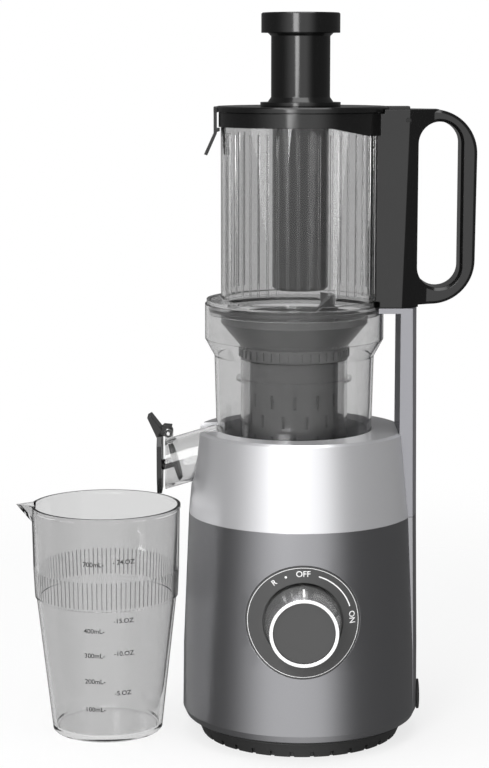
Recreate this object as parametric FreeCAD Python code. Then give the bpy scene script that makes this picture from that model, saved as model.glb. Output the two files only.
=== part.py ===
import FreeCAD
import Part
import math
import os

# Cold press juicer: wide hopper, slow auger in a slotted strainer, clear bowl and a geared motor base.
# Millimetres. The origin is on the base's axis at the surface it stands on, +Z up, and the dial faces -Y.

Vector = FreeCAD.Vector
UP = Vector(0, 0, 1)

# Fits between pieces
RUNNING = 0.05
SLIDING = 0.3
SEAM = 0.4
TOUCH = 0.1

# Base shells: radii step in from the foot, heights step up from the split
FOOT_R = 82.9
BELLY_R = FOOT_R - 0.6
SPLIT_R = FOOT_R - 4.6
RIM_R = FOOT_R - 10.1
LIP_R = FOOT_R - 9.4
BASE_WALL = 2.6
SHELL_BOTTOM_Z = 11.5
BELLY_Z = 63.0
SPLIT_Z = 157.7
UPPER_H = 59.0
RIM_Z = SPLIT_Z + UPPER_H
FOOT_CORNER = 2.2
FOOT_CURVE = 7.0
RIM_CORNER = 1.6
SKIRT_DEPTH = 5.0
SKIRT_WALL = 2.2

# Base plate and feet
RING_R = FOOT_R - 13.6
RING_WALL = 3.0
RING_BOTTOM_Z = 0.0
PLATE_Z = 4.0
PLATE_T = 2.5
NOTCH_COUNT = 32
NOTCH_W = 2.7
NOTCH_H = 4.0
NOTCH_DEPTH = 1.6
VENT_COUNT = 12
VENT_W = 3.0
VENT_INNER_R = 20.0
VENT_OUTER_R = 42.0
FEET_R = RING_R - 14.3
FOOT_PAD_R = 8.5

# Recess for the bowl, left of the base's axis to leave room for the tower
BOWL_X = -4.8
RECESS_R = 54.9
RECESS_DEPTH = 44.7
RECESS_FLOOR_Z = RIM_Z - RECESS_DEPTH
RECESS_WALL = 2.4
HUB_R = 11.5
HUB_TOP_Z = RECESS_FLOOR_Z + 4.0
HUB_BORE_R = 9.0

# Bowl
BOWL_BOTTOM_Z = RECESS_FLOOR_Z + 0.2
BOWL_FLOOR_Z = HUB_TOP_Z + 0.6
BOWL_HEIGHT = 131.8
BOWL_TOP_Z = BOWL_BOTTOM_Z + BOWL_HEIGHT
BOWL_WALL = 2.4
BOWL_WAIST_R = RECESS_R - 1.8
BOWL_FOOT_R = BOWL_WAIST_R - 2.6
BOWL_SHOULDER_R = BOWL_WAIST_R + 2.3
BOWL_RING_R = BOWL_WAIST_R + 8.8
BOWL_RING_Z = BOWL_TOP_Z - 24.0
BOWL_SHOULDER_Z = BOWL_RING_Z - 12.0
BOWL_HUB_R = 10.5
BOWL_HUB_TOP_Z = BOWL_FLOOR_Z + 9.4
BOWL_SEAL_R = 8.5

# Spout, its notch in the base and its cap
SPOUT_R = 16.9
SPOUT_WALL = 2.2
SPOUT_SLOPE = 16.5
SPOUT_MID_Z = BOWL_FLOOR_Z + 19.8
SPOUT_END_X = -FOOT_R - 11.7
SPOUT_MID_X = SPOUT_END_X + 19.95
NOTCH_GAP = 2.5
CHANNEL_WALL = 2.4
CAP_PIN_X = SPOUT_END_X + 2.2
CAP_PIN_RISE = 5.4
CAP_PIN_R = 1.2
CAP_KNUCKLE_R = 3.0
CAP_KNUCKLE_HALF = 5.8
CAP_EAR_T = 3.0
CAP_PLATE_X = SPOUT_END_X - 5.6
CAP_PLATE_T = 3.4
CAP_MARGIN = 1.6
CAP_CORNER = 6.0
PLUG_GAP = 0.9
PLUG_T = 2.6
PLUG_X = SPOUT_END_X + 6.0

# Pulp chute at the back of the bowl
CHUTE_HALF_W = 14.0
CHUTE_HALF_H = 11.5
CHUTE_WALL = 2.2
CHUTE_DROP = 13.3217075
CHUTE_START_Z = BOWL_FLOOR_Z + 22.4
CHUTE_OVERHANG = 13.0

# Tower
TOWER_HALF_W = 25.6
TOWER_TOP_R = SPLIT_R + 1.5
TOWER_SPLIT_R = SPLIT_R + 2.9
TOWER_INNER_R = TOWER_TOP_R - 7.8
TOWER_GAP_X = TOWER_INNER_R - 5.2
TOWER_TOP_Z = BOWL_TOP_Z - 1.0
TOWER_WALL = 1.8
TOWER_SIDE_WALL = 2.2
SHELF_T = 3.6
SHELF_INNER_X = 40.0
RING_CLEARANCE = 0.6
GLAND_Z = 24.0
GLAND_R = 10.5
GLAND_T = 1.6
GLAND_DEPTH = 8.0
CORD_R = 3.5
GLAND_BODY_R = CORD_R + 3.0

# Dial and knob
DIAL_Z = 97.5
DIAL_R = 38.5
DIAL_T = 0.95
DIAL_PROUD = 0.3
SEAT_R = 27.2
SEAT_WALL = 2.0
SEAT_DEPTH = 5.3
SEAT_FLOOR_T = 2.0
KNOB_GAP = 0.7
KNOB_BASE_R = SEAT_R - 0.9
KNOB_FACE_R = KNOB_BASE_R - 3.3
KNOB_LENGTH = 32.5
KNOB_RING_W = 2.3
KNOB_WALL = 1.4
KNOB_HUB_R = 6.0
KNOB_FACE_T = 2.4
SPINDLE_R = 3.0
SPINDLE_GRIP = 18.0
SWITCH_R = 14.0
SWITCH_DEPTH = 14.0

# Control board
BOARD_X = 20.3 - SPLIT_R
BOARD_HALF = 31.0
BOARD_Z = 40.0
BOARD_H = 70.0
BOARD_T = 1.6

# Gear train: motor to countershaft to drive shaft, hung under the recess
PRESSURE_ANGLE = 25.0
PINION_TEETH = 12
WHEEL_TEETH = 60
FIRST_MODULE = 0.8
SECOND_MODULE = 1.0
GEAR_THINNING = 0.12
MOTOR_ANGLE = -40.0
MOTOR_SHAFT_R = 4.0
PINION_BORE_R = 2.4
COUNTERSHAFT_R = 4.0
DRIVE_SHAFT_R = 6.0
RECESS_UNDER_Z = RECESS_FLOOR_Z - BASE_WALL
BOSS_DROP = 12.4
COVER_T = 5.0
COVER_TOP_Z = RECESS_UNDER_Z - BOSS_DROP
CASE_TOP_Z = COVER_TOP_Z - COVER_T
CASE_WALL = 3.0
CASE_GAP = 2.0
CASE_FLOOR_T = 4.0
EAR_R = 6.0
EAR_OUT = 5.0
EAR_H = 6.0
SECOND_GEAR_W = 10.0
SECOND_GEAR_Z = CASE_TOP_Z - 19.0
FIRST_GEAR_W = 8.0
FIRST_GEAR_Z = SECOND_GEAR_Z - 13.0
CASE_FLOOR_Z = FIRST_GEAR_Z - 8.0
PINION_EXTRA = 1.0

# Motor
MOTOR_R = 42.0
MOTOR_H = 82.0
MOTOR_BOTTOM_Z = CASE_FLOOR_Z - MOTOR_H
MOTOR_WALL = 4.0
ROTOR_R = 25.0
ROTOR_GAP = 0.5
FAN_R = 34.0
FAN_BLADES = 7

# Drive shaft end and auger socket
HEX_FLATS = DRIVE_SHAFT_R * 1.7
HEX_GAP = 0.2
SHAFT_ROUND_TOP_Z = BOWL_HUB_TOP_Z + 1.0
SOCKET_R = DRIVE_SHAFT_R + 4.0
SOCKET_BOTTOM_Z = BOWL_HUB_TOP_Z + 2.5
SOCKET_TOP_Z = SOCKET_BOTTOM_Z + 17.5
SHAFT_TOP_Z = SOCKET_TOP_Z - 3.0
HUB_POCKET_R = BOWL_HUB_R + 1.5

# Strainer and its sleeve
STRAINER_BOTTOM_Z = BOWL_FLOOR_Z + BOWL_WALL + 0.4
STRAINER_R = 30.6
STRAINER_WALL = 2.2
FUNNEL_TOP_Z = BOWL_TOP_Z - 8.0
FUNNEL_Z = FUNNEL_TOP_Z - 5.0
FUNNEL_R = BOWL_SHOULDER_R - 4.6
FUNNEL_WALL = 2.0
COLLAR_R = 37.4
COLLAR_TOP_Z = FUNNEL_Z - 16.0
COLLAR_BOTTOM_Z = COLLAR_TOP_Z - 8.6
COLLAR_TEETH = 40
COLLAR_TOOTH = 1.2
SLOT_W = 2.2
SLOT_H = 9.0
SLOT_ROWS = 3
SLOT_ROW_PITCH = 14.0
SLOT_TOP_Z = COLLAR_BOTTOM_Z - 23.4
SLOT_COUNT = 12
SLEEVE_R = STRAINER_R + 6.6
SLEEVE_WALL = 1.8
SLEEVE_FLANGE_R = SLEEVE_R + 3.0
SLEEVE_FLANGE_Z = COLLAR_BOTTOM_Z - 15.4
SLEEVE_FLANGE_T = 1.8
WINDOW_LIFT = 3.0
WINDOW_HALF_W = 10.0

# Auger
AUGER_BOTTOM_Z = STRAINER_BOTTOM_Z + 2.4
AUGER_ROOT_R = 20.5
AUGER_NECK_R = 17.0
AUGER_NECK_Z = COLLAR_BOTTOM_Z - 4.4
AUGER_TIP_Z = FUNNEL_TOP_Z - 4.0
AUGER_TIP_R = 7.0
AUGER_GAP = 0.6
FLIGHT_PITCH = 34.0
FLIGHT_START_Z = AUGER_BOTTOM_Z + 8.2
FLIGHT_END_Z = AUGER_NECK_Z + 2.8
FLIGHT_START_TURN = 60.0
FLIGHT_ROOT_W = 7.0
FLIGHT_TIP_W = 3.0
FLIGHT_BITE = 3.0
WING_T = 5.0
WING_CURVE_R = 22.0
WING_START = -12.0
WING_TOP_Z = BOWL_TOP_Z + 4.0
WING_OUTER_R = FUNNEL_R - 11.8

# Hopper
HOPPER_R = 55.6
HOPPER_WALL = 2.4
HOPPER_HEIGHT = 131.1
HOPPER_SEAT_GAP = 0.3
HOPPER_BOTTOM_Z = BOWL_TOP_Z + HOPPER_SEAT_GAP
HOPPER_TOP_Z = HOPPER_BOTTOM_Z + HOPPER_HEIGHT
FLANGE_R = BOWL_RING_R - 1.1
FLANGE_T = 3.0
SPIGOT_DEPTH = 7.0
SPIGOT_WALL = 2.1
SPIGOT_GAP = 0.5
SPIGOT_R = BOWL_RING_R - BOWL_WALL - SPIGOT_GAP
HOPPER_SEAL_H = 2.0
HOPPER_SEAL_Z = HOPPER_BOTTOM_Z - SPIGOT_DEPTH / 2 - HOPPER_SEAL_H / 2
RIB_COUNT = 48
RIB_W = 1.2
RIB_PROUD = 0.9
RIB_BOTTOM_Z = HOPPER_BOTTOM_Z + 8.7
RIB_TOP_Z = HOPPER_TOP_Z - 14.4

# Collar and handle
COLLAR_BAND_R = HOPPER_R + 2.0
BAND_BOTTOM_Z = HOPPER_TOP_Z - 9.8
BAND_DEEP_Z = HOPPER_TOP_Z - 15.1
HANDLE_GAP = 0.3
HANDLE_POST_Z = TOWER_TOP_Z + HANDLE_GAP
HANDLE_BOTTOM_Z = HANDLE_POST_Z + 1.5
HANDLE_TOP_Z = HOPPER_TOP_Z + 2.1
HANDLE_OUTER_CORNER_R = 30.0
HANDLE_RIDGE_TOP_X = TOWER_INNER_R + 0.4
HANDLE_RIDGE_BOTTOM_X = TOWER_INNER_R - 4.0
HANDLE_SLOPE = 20.6
HANDLE_POST_HALF = 24.0
HANDLE_GRIP_HALF = 13.5
HANDLE_EDGE = 2.0
HOLE_LEFT_X = TOWER_TOP_R - 1.2
HOLE_RIGHT_X = HOLE_LEFT_X + 29.6
HANDLE_OUTER_X = HOLE_RIGHT_X + 11.3
HOLE_BOTTOM_Z = HANDLE_BOTTOM_Z + 11.1
HOLE_TOP_Z = HANDLE_TOP_Z - 8.3
MAGNET_R = 3.0
MAGNET_T = 2.9
MAGNET_X = (TOWER_INNER_R + TOWER_TOP_R) / 2

# Lid, hinge and latch
LID_R = HOPPER_R + 3.8
LID_BOTTOM_Z = HOPPER_TOP_Z + 0.4
LID_T = 3.7
LID_TOP_Z = LID_BOTTOM_Z + LID_T
LID_EDGE = 1.0
PLUG_RING_DEPTH = 8.0
PLUG_RING_WALL = 2.2
GUIDE_WALL = 2.2
GUIDE_DEPTH = 10.0
HINGE_X = TOWER_INNER_R - 0.7
HINGE_Z = HOPPER_TOP_Z - 4.9
HINGE_PIN_R = 1.5
HINGE_KNUCKLE_R = 4.2
HINGE_ARM_HALF = 8.5
HINGE_SLOT_HALF = HINGE_ARM_HALF + 0.5
LATCH_PIVOT_X = -HOPPER_R - 2.8
LATCH_PIVOT_Z = LID_BOTTOM_Z + 1.5
LATCH_PIN_R = 0.8
LATCH_KNUCKLE_R = 2.0
LATCH_HALF = 8.0
LATCH_T = 2.2
LATCH_EAR_T = 3.0
LATCH_BEND_Z = HOPPER_TOP_Z - 13.9
LATCH_TIP_X = LATCH_PIVOT_X - 7.6
LATCH_TIP_Z = HOPPER_TOP_Z - 28.4
LATCH_HOOK_Z = HOPPER_TOP_Z - 12.8
LATCH_HOOK_H = 2.0
LATCH_CLEARANCE = 0.7

# Pusher
PUSHER_X = -1.0
PUSHER_R = 19.2
PUSHER_BOTTOM_Z = HOPPER_BOTTOM_Z + 9.5
PUSHER_FLANGE_R = PUSHER_R + 8.3
PUSHER_FLANGE_T = 2.6
PUSHER_NECK_R = PUSHER_R + 1.0
PUSHER_SHOULDER_R = PUSHER_R + 3.4
PUSHER_CAP_R = PUSHER_R + 7.7
PUSHER_CAP_Z = LID_TOP_Z + 49.5
PUSHER_TOP_Z = PUSHER_CAP_Z + 13.5
PUSHER_WALL = 2.4
PUSHER_GAP = 0.4
PUSHER_EDGE = 0.8

# Juice cup in its working place under the spout
CUP_GAP = 1.4
CUP_BASE_R = 38.9
CUP_HEIGHT = 161.7
CUP_BAND_TOP_Z = CUP_HEIGHT - 43.7
CUP_BAND_BOTTOM_Z = CUP_BAND_TOP_Z - 21.0
CUP_RIM_R = CUP_BASE_R + 13.7
CUP_BAND_R = CUP_RIM_R - 2.2
CUP_STEP = 1.0
CUP_X = -FOOT_R - CUP_GAP - CUP_RIM_R
CUP_WALL = 2.2
CUP_FLOOR = 3.0
CUP_LIP_OUT = 10.5
CUP_LIP_DROP = 22.0


def rounded_corner(before, corner, after, radius):
    """Start, middle and end of the arc that rounds one corner of an outline."""
    to_before = (before - corner).normalize()
    to_after = (after - corner).normalize()
    half = to_before.getAngle(to_after) / 2
    reach = radius / math.tan(half)
    inward = (to_before + to_after).normalize()
    middle = corner + inward * (radius / math.sin(half) - radius)
    return corner + to_before * reach, middle, corner + to_after * reach


def outline(points, place):
    """Closed wire through (u, v) or (u, v, radius) corners, each rounded to its radius."""
    corners = [place(point[0], point[1]) for point in points]
    radii = [point[2] if len(point) > 2 else 0 for point in points]
    count = len(points)
    arcs = []
    for i, corner in enumerate(corners):
        if radii[i] > 0:
            arcs.append(rounded_corner(corners[i - 1], corner, corners[(i + 1) % count], radii[i]))
        else:
            arcs.append((corner, corner, corner))
    edges = []
    for i, (start, middle, end) in enumerate(arcs):
        if radii[i] > 0:
            edges.append(Part.Arc(start, middle, end).toShape())
        following = arcs[(i + 1) % count][0]
        if (following - end).Length > 1e-6:
            edges.append(Part.LineSegment(end, following).toShape())
    return Part.Wire(edges)


def lathe(points, x=0.0, y=0.0):
    """Solid turned about the upright axis through (x, y) from (radius, height) corners."""
    face = Part.Face(outline(points, lambda r, z: Vector(x + r, y, z)))
    return face.revolve(Vector(x, y, 0), UP, 360)


def front_slab(points, y_from, y_to):
    """Front-view outline of (x, height) corners, extruded along Y."""
    face = Part.Face(outline(points, lambda u, v: Vector(u, y_from, v)))
    return face.extrude(Vector(0, y_to - y_from, 0))


def side_slab(points, x_from, x_to):
    """Side-view outline of (y, height) corners, extruded along X."""
    face = Part.Face(outline(points, lambda u, v: Vector(x_from, u, v)))
    return face.extrude(Vector(x_to - x_from, 0, 0))


def plan_slab(points, z_from, z_to):
    """Plan outline of (x, y) corners, extruded upwards."""
    face = Part.Face(outline(points, lambda u, v: Vector(u, v, z_from)))
    return face.extrude(Vector(0, 0, z_to - z_from))


def block(x, y, z):
    """Box from three (low, high) pairs."""
    return Part.makeBox(x[1] - x[0], y[1] - y[0], z[1] - z[0], Vector(x[0], y[0], z[0]))


def rod(radius, z_from, z_to, x=0.0, y=0.0):
    """Upright cylinder."""
    return Part.makeCylinder(radius, z_to - z_from, Vector(x, y, z_from))


def bush(inner, outer, z_from, z_to, x=0.0, y=0.0):
    """Upright ring with a square section."""
    return lathe([(inner, z_from), (outer, z_from), (outer, z_to), (inner, z_to)], x, y)


def rod_along_y(radius, y_from, y_to, x, z):
    """Cylinder lying along Y."""
    return Part.makeCylinder(radius, y_to - y_from, Vector(x, y_from, z), Vector(0, 1, 0))


def turned(shape, angle, x=0.0, y=0.0):
    """Copy of a shape, turned about an upright axis."""
    copy = shape.copy()
    copy.rotate(Vector(x, y, 0), UP, angle)
    return copy


def ring_of(shape, count, x=0.0, y=0.0, start=0.0):
    """Copies of a shape, spaced evenly about an upright axis."""
    return [turned(shape, start + 360.0 * i / count, x, y) for i in range(count)]


def along(start, end, share):
    """Value at a share of the way from start to end."""
    return start + (end - start) * share


def housing_radius(z):
    """Outer radius of the base between the belly and the rim."""
    if z < SPLIT_Z:
        return along(BELLY_R, SPLIT_R, (z - BELLY_Z) / (SPLIT_Z - BELLY_Z))
    return along(SPLIT_R, RIM_R, (z - SPLIT_Z) / (RIM_Z - SPLIT_Z))


def tower_radius(z):
    """Outer radius of the tower's back above the split."""
    return along(TOWER_SPLIT_R, TOWER_TOP_R, (z - SPLIT_Z) / (TOWER_TOP_Z - SPLIT_Z))


# Axes of the gear train in plan
FIRST_CENTRES = FIRST_MODULE * (PINION_TEETH + WHEEL_TEETH) / 2
SECOND_CENTRES = SECOND_MODULE * (PINION_TEETH + WHEEL_TEETH) / 2
DRIVE_AT = (BOWL_X, 0.0)
COUNTER_AT = (BOWL_X, SECOND_CENTRES)
MOTOR_AT = (
    COUNTER_AT[0] + FIRST_CENTRES * math.cos(math.radians(MOTOR_ANGLE)),
    COUNTER_AT[1] + FIRST_CENTRES * math.sin(math.radians(MOTOR_ANGLE)),
)
OUTPUT_TIP_R = SECOND_MODULE * (WHEEL_TEETH / 2 + 1)
FIRST_TIP_R = FIRST_MODULE * (WHEEL_TEETH / 2 + 1)
CASE_DRIVE_R = OUTPUT_TIP_R + CASE_GAP + CASE_WALL
CASE_COUNTER_R = FIRST_TIP_R + CASE_GAP + CASE_WALL
EARS = [
    (DRIVE_AT[0] + side * (CASE_DRIVE_R + EAR_OUT), DRIVE_AT[1]) for side in (-1, 1)
] + [(COUNTER_AT[0] + side * (CASE_COUNTER_R + EAR_OUT), COUNTER_AT[1]) for side in (-1, 1)]


def spout_axis_z(x):
    """Height of the spout's sloping axis at a place along X."""
    return SPOUT_MID_Z + (x - SPOUT_MID_X) * math.tan(math.radians(SPOUT_SLOPE))


def spout_rod(radius, x_from, x_to):
    """Cylinder on the spout's sloping axis between two places along X."""
    slope = math.radians(SPOUT_SLOPE)
    start = Vector(x_from, 0, spout_axis_z(x_from))
    direction = Vector(-math.cos(slope), 0, -math.sin(slope))
    return Part.makeCylinder(radius, (x_from - x_to) / math.cos(slope), start, direction)


def spout_notch(gap):
    """U-shaped block round the spout, open upwards, wider than the spout by a gap."""
    half = SPOUT_R + gap
    round_z = SPOUT_MID_Z
    block_part = block((-120, BOWL_X), (-half, half), (round_z, RIM_Z + 20))
    round_part = Part.makeCylinder(half, BOWL_X + 120, Vector(-120, 0, round_z), Vector(1, 0, 0))
    return block_part.fuse(round_part)


def chute_end_y():
    """Place of the chute's open end behind the bowl."""
    return FOOT_R + CHUTE_OVERHANG


def chute_block(extra, y_from, y_to):
    """Sloping rectangular duct with rounded corners towards the back, grown by an extra all round."""
    half_w = CHUTE_HALF_W + extra
    half_h = CHUTE_HALF_H + extra
    points = [(-half_w, -half_h), (half_w, -half_h), (half_w, half_h), (-half_w, half_h)]
    face = Part.Face(outline(points, lambda u, v: Vector(BOWL_X + u, y_from, CHUTE_START_Z + v)))
    reach = y_to - y_from
    fall = CHUTE_DROP / (chute_end_y() - RECESS_R)
    duct = face.extrude(Vector(0, reach, -reach * fall))
    duct.translate(Vector(0, 0, (RECESS_R - y_from) * fall))
    return duct


def chute_notch(gap):
    """Opening for the chute in the base's rim, open upwards."""
    half = CHUTE_HALF_W + CHUTE_WALL + gap
    bottom = RECESS_FLOOR_Z + gap
    return block((BOWL_X - half, BOWL_X + half), (0, 120), (bottom, RIM_Z + 20))


def foot_curve(radius):
    """Corners that round a shell's lower edge in two flats, from the bottom up."""
    return [
        (radius - FOOT_CURVE, SHELL_BOTTOM_Z), (radius - FOOT_CORNER, SHELL_BOTTOM_Z + FOOT_CORNER),
        (radius, SHELL_BOTTOM_Z + FOOT_CURVE),
    ]


def lower_housing():
    """Dark lower shell of the base with the board's ribs and the pocket of the dial."""
    wall = BASE_WALL
    shell = lathe([
        (LIP_R, SHELL_BOTTOM_Z), *foot_curve(FOOT_R), (BELLY_R, BELLY_Z), (SPLIT_R, SPLIT_Z),
        (SPLIT_R - wall, SPLIT_Z), (BELLY_R - wall, BELLY_Z), (FOOT_R - wall, SHELL_BOTTOM_Z + 2 * wall),
        (FOOT_R - 2 * wall, SHELL_BOTTOM_Z + wall), (LIP_R, SHELL_BOTTOM_Z + wall),
    ])
    ribs = []
    for side in (-1, 1):
        low = BOARD_HALF + TOUCH
        rib_y = sorted((side * low, side * (low + 2.4)))
        rib_end = -math.sqrt((BELLY_R - 1.5 * wall) ** 2 - (low + 2.4) ** 2)
        ribs.append(block((rib_end, BOARD_X + 6), rib_y, (BOARD_Z - 2, BOARD_Z + BOARD_H + 2)))
    tools = [
        block((TOWER_GAP_X, FOOT_R + 20), (-TOWER_HALF_W - SEAM, TOWER_HALF_W + SEAM), (0, SPLIT_Z + 1)),
        dial_skin(-DIAL_T - 0.05, 4.0).common(rod_along_y(DIAL_R + SLIDING, -100, 0, 0, DIAL_Z)),
        rod_along_y(SEAT_R + SEAT_WALL + SLIDING, -100, -50, 0, DIAL_Z),
    ]
    return shell.fuse(ribs).cut(tools)


def dial_skin(inner, outer):
    """Layer that follows the base's outside round the dial, between two offsets from it."""
    low = DIAL_Z - DIAL_R - 6
    high = DIAL_Z + DIAL_R + 6
    return lathe([
        (housing_radius(low) + inner, low),
        (housing_radius(low) + outer, low),
        (housing_radius(high) + outer, high),
        (housing_radius(high) + inner, high),
    ])


def seat_floor_y():
    """Front face of the knob's seat."""
    return SEAT_DEPTH - housing_radius(DIAL_Z)


def dial_plate():
    """Dark dial that follows the shell's curve, with the flat seat the knob turns in."""
    disc = rod_along_y(DIAL_R, -100, 0, 0, DIAL_Z)
    ring = dial_skin(-DIAL_T, DIAL_PROUD).common(disc)
    seat = rod_along_y(SEAT_R + SEAT_WALL, -100, seat_floor_y() + SEAT_FLOOR_T, 0, DIAL_Z)
    seat = seat.common(dial_skin(-40, DIAL_PROUD))
    pocket = rod_along_y(SEAT_R, -100, seat_floor_y(), 0, DIAL_Z)
    hole = rod_along_y(SPINDLE_R + SLIDING, -100, 0, 0, DIAL_Z)
    return ring.fuse(seat).cut([pocket, hole])


def upper_housing():
    """Silver upper shell: rim, recess for the bowl, spout notch, chute notch and gearbox bosses."""
    wall = BASE_WALL
    skirt_r = SPLIT_R - wall - SLIDING
    skirt_z = SPLIT_Z - SKIRT_DEPTH
    envelope = lathe([
        (0, skirt_z), (skirt_r, skirt_z), (skirt_r, SPLIT_Z), (SPLIT_R, SPLIT_Z),
        (along(SPLIT_R, RIM_R, 1 - RIM_CORNER / UPPER_H), RIM_Z - RIM_CORNER),
        (RIM_R - RIM_CORNER, RIM_Z), (0, RIM_Z),
    ])
    inside = lathe([
        (0, skirt_z - 1), (skirt_r - SKIRT_WALL, skirt_z - 1), (skirt_r - SKIRT_WALL, SPLIT_Z + 4),
        (housing_radius(RIM_Z - wall) - wall, RIM_Z - wall), (0, RIM_Z - wall),
    ])
    cup = rod(RECESS_R + RECESS_WALL, RECESS_UNDER_Z, RIM_Z, BOWL_X)
    kept = [cup, spout_notch(NOTCH_GAP + CHANNEL_WALL)]
    chute_half = CHUTE_HALF_W + CHUTE_WALL + NOTCH_GAP + CHANNEL_WALL
    kept.append(block((BOWL_X - chute_half, BOWL_X + chute_half), (0, 100), (RECESS_UNDER_Z, RIM_Z)))
    kept += [rod(EAR_R - 1, COVER_TOP_Z, RECESS_UNDER_Z + 1, x, y) for x, y in EARS]
    kept.append(rod(HUB_R, COVER_TOP_Z + 4, RECESS_UNDER_Z + 1, BOWL_X))
    hub = rod(HUB_R, RECESS_FLOOR_Z, HUB_TOP_Z, BOWL_X)
    recess = rod(RECESS_R, RECESS_FLOOR_Z, RIM_Z + 5, BOWL_X).cut(hub)
    gap_half = TOWER_HALF_W + SEAM
    tower_gap = block((TOWER_GAP_X, FOOT_R + 20), (-gap_half, gap_half), (skirt_z - 1, RIM_Z + 5))
    tools = [inside.cut(kept), recess, spout_notch(NOTCH_GAP), chute_notch(NOTCH_GAP), tower_gap]
    tools.append(rod(HUB_BORE_R, COVER_TOP_Z, RIM_Z, BOWL_X))
    return envelope.cut(tools)


def tower_housing():
    """Silver tower: a hollow curved slab with a shelf under the handle, open towards the base."""
    low = SPLIT_Z + SLIDING
    ledge_r = TOWER_GAP_X + SEAM
    rear = block((ledge_r, 100), (-TOWER_HALF_W, TOWER_HALF_W), (low, TOWER_TOP_Z + 5))
    body = lathe([
        (ledge_r, low), (TOWER_SPLIT_R, low), (TOWER_TOP_R, TOWER_TOP_Z),
        (TOWER_INNER_R, TOWER_TOP_Z), (TOWER_INNER_R, RIM_Z), (ledge_r, RIM_Z),
    ]).common(rear)
    shelf = block(
        (SHELF_INNER_X, TOWER_INNER_R + TOWER_WALL), (-TOWER_HALF_W, TOWER_HALF_W),
        (TOWER_TOP_Z - SHELF_T, TOWER_TOP_Z)
    )
    shelf = shelf.cut(rod(BOWL_RING_R + RING_CLEARANCE, 0, 400, BOWL_X))
    side = TOWER_HALF_W - TOWER_SIDE_WALL
    cavity = lathe([
        (50, low - 1), (tower_radius(low) - TOWER_SIDE_WALL, low - 1),
        (TOWER_TOP_R - TOWER_WALL, TOWER_TOP_Z - TOWER_WALL),
        (TOWER_INNER_R + TOWER_WALL, TOWER_TOP_Z - TOWER_WALL),
        (TOWER_INNER_R + TOWER_WALL, RIM_Z - SHELF_T), (50, RIM_Z - SHELF_T),
    ]).common(block((0, 100), (-side, side), (low - 2, TOWER_TOP_Z)))
    return body.fuse(shelf).cut(cavity)


def tower_lower_cover():
    """Dark lower part of the tower, flush with the lower housing near the foot."""
    high = SPLIT_Z
    low = SHELL_BOTTOM_Z
    wall = TOWER_SIDE_WALL
    side = TOWER_HALF_W - wall
    inner_x = TOWER_GAP_X + SEAM
    lip_top = low + 2 * wall
    body = lathe([
        (LIP_R, low), *foot_curve(FOOT_R), (BELLY_R + SLIDING, BELLY_Z),
        (TOWER_SPLIT_R, high), (inner_x, high), (inner_x, lip_top), (LIP_R, lip_top),
    ]).common(block((inner_x, 100), (-TOWER_HALF_W, TOWER_HALF_W), (0, high + 5)))
    cavity = lathe([
        (50, low + wall), (FOOT_R - 2 * wall, low + wall), (FOOT_R - wall, low + 2 * wall),
        (BELLY_R + SLIDING - wall, BELLY_Z), (TOWER_SPLIT_R - wall, high + 1), (50, high + 1),
    ]).common(block((0, 100), (-side, side), (0, high + 5)))
    hole = Part.makeCylinder(GLAND_BODY_R + TOUCH, 30, Vector(70, 0, GLAND_Z), Vector(1, 0, 0))
    return body.cut([cavity, hole])


def cord_gland():
    """Rubber bushing at the foot of the tower that the mains cord comes out of."""
    outer_x = FOOT_R + GLAND_T
    wall_x = FOOT_R - TOWER_SIDE_WALL
    flange = Part.makeCylinder(GLAND_R, GLAND_T + 0.6, Vector(FOOT_R - 0.6, 0, GLAND_Z), Vector(1, 0, 0))
    flange = flange.cut(lathe([
        (60, 0), (FOOT_R + 0.15, 0), (FOOT_R + 0.15, 40), (60, 40)
    ]))
    inner = Vector(wall_x - 6, 0, GLAND_Z)
    body = Part.makeCylinder(GLAND_BODY_R, outer_x - wall_x + 6, inner, Vector(1, 0, 0))
    mouth = Vector(outer_x - GLAND_DEPTH, 0, GLAND_Z)
    bore = Part.makeCylinder(CORD_R, GLAND_DEPTH + 1, mouth, Vector(1, 0, 0))
    return flange.fuse(body).cut(bore)


def base_plate():
    """Black underside with the notched foot ring and the motor's air vents."""
    top = SHELL_BOTTOM_Z - SLIDING
    plate = lathe([
        (0, PLATE_Z), (RING_R - RING_WALL, PLATE_Z), (RING_R - RING_WALL, RING_BOTTOM_Z),
        (RING_R, RING_BOTTOM_Z),
        (LIP_R, top - 1.2), (LIP_R + 1.8, top - 1.2), (LIP_R + 1.8, top), (LIP_R - SLIDING, top),
        (LIP_R - SLIDING, top + 2.4), (LIP_R - 3.0, top + 2.4),
        (RING_R - RING_WALL, PLATE_Z + PLATE_T), (0, PLATE_Z + PLATE_T),
    ])
    half = NOTCH_W / 2
    notch = block((RING_R - NOTCH_DEPTH, RING_R + 8), (-half, half), (0, RING_BOTTOM_Z + NOTCH_H))
    tools = ring_of(notch, NOTCH_COUNT, start=180.0 / NOTCH_COUNT)
    vent_y = (-VENT_W / 2, VENT_W / 2)
    vent = block((VENT_INNER_R, VENT_OUTER_R), vent_y, (PLATE_Z - 1, PLATE_Z + PLATE_T + 1))
    return plate.cut(tools + ring_of(vent, VENT_COUNT))


def rubber_feet():
    """Four rubber feet glued under the base plate."""
    return Part.makeCompound(ring_of(rod(FOOT_PAD_R, 0, PLATE_Z, FEET_R), 4, start=45))


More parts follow.
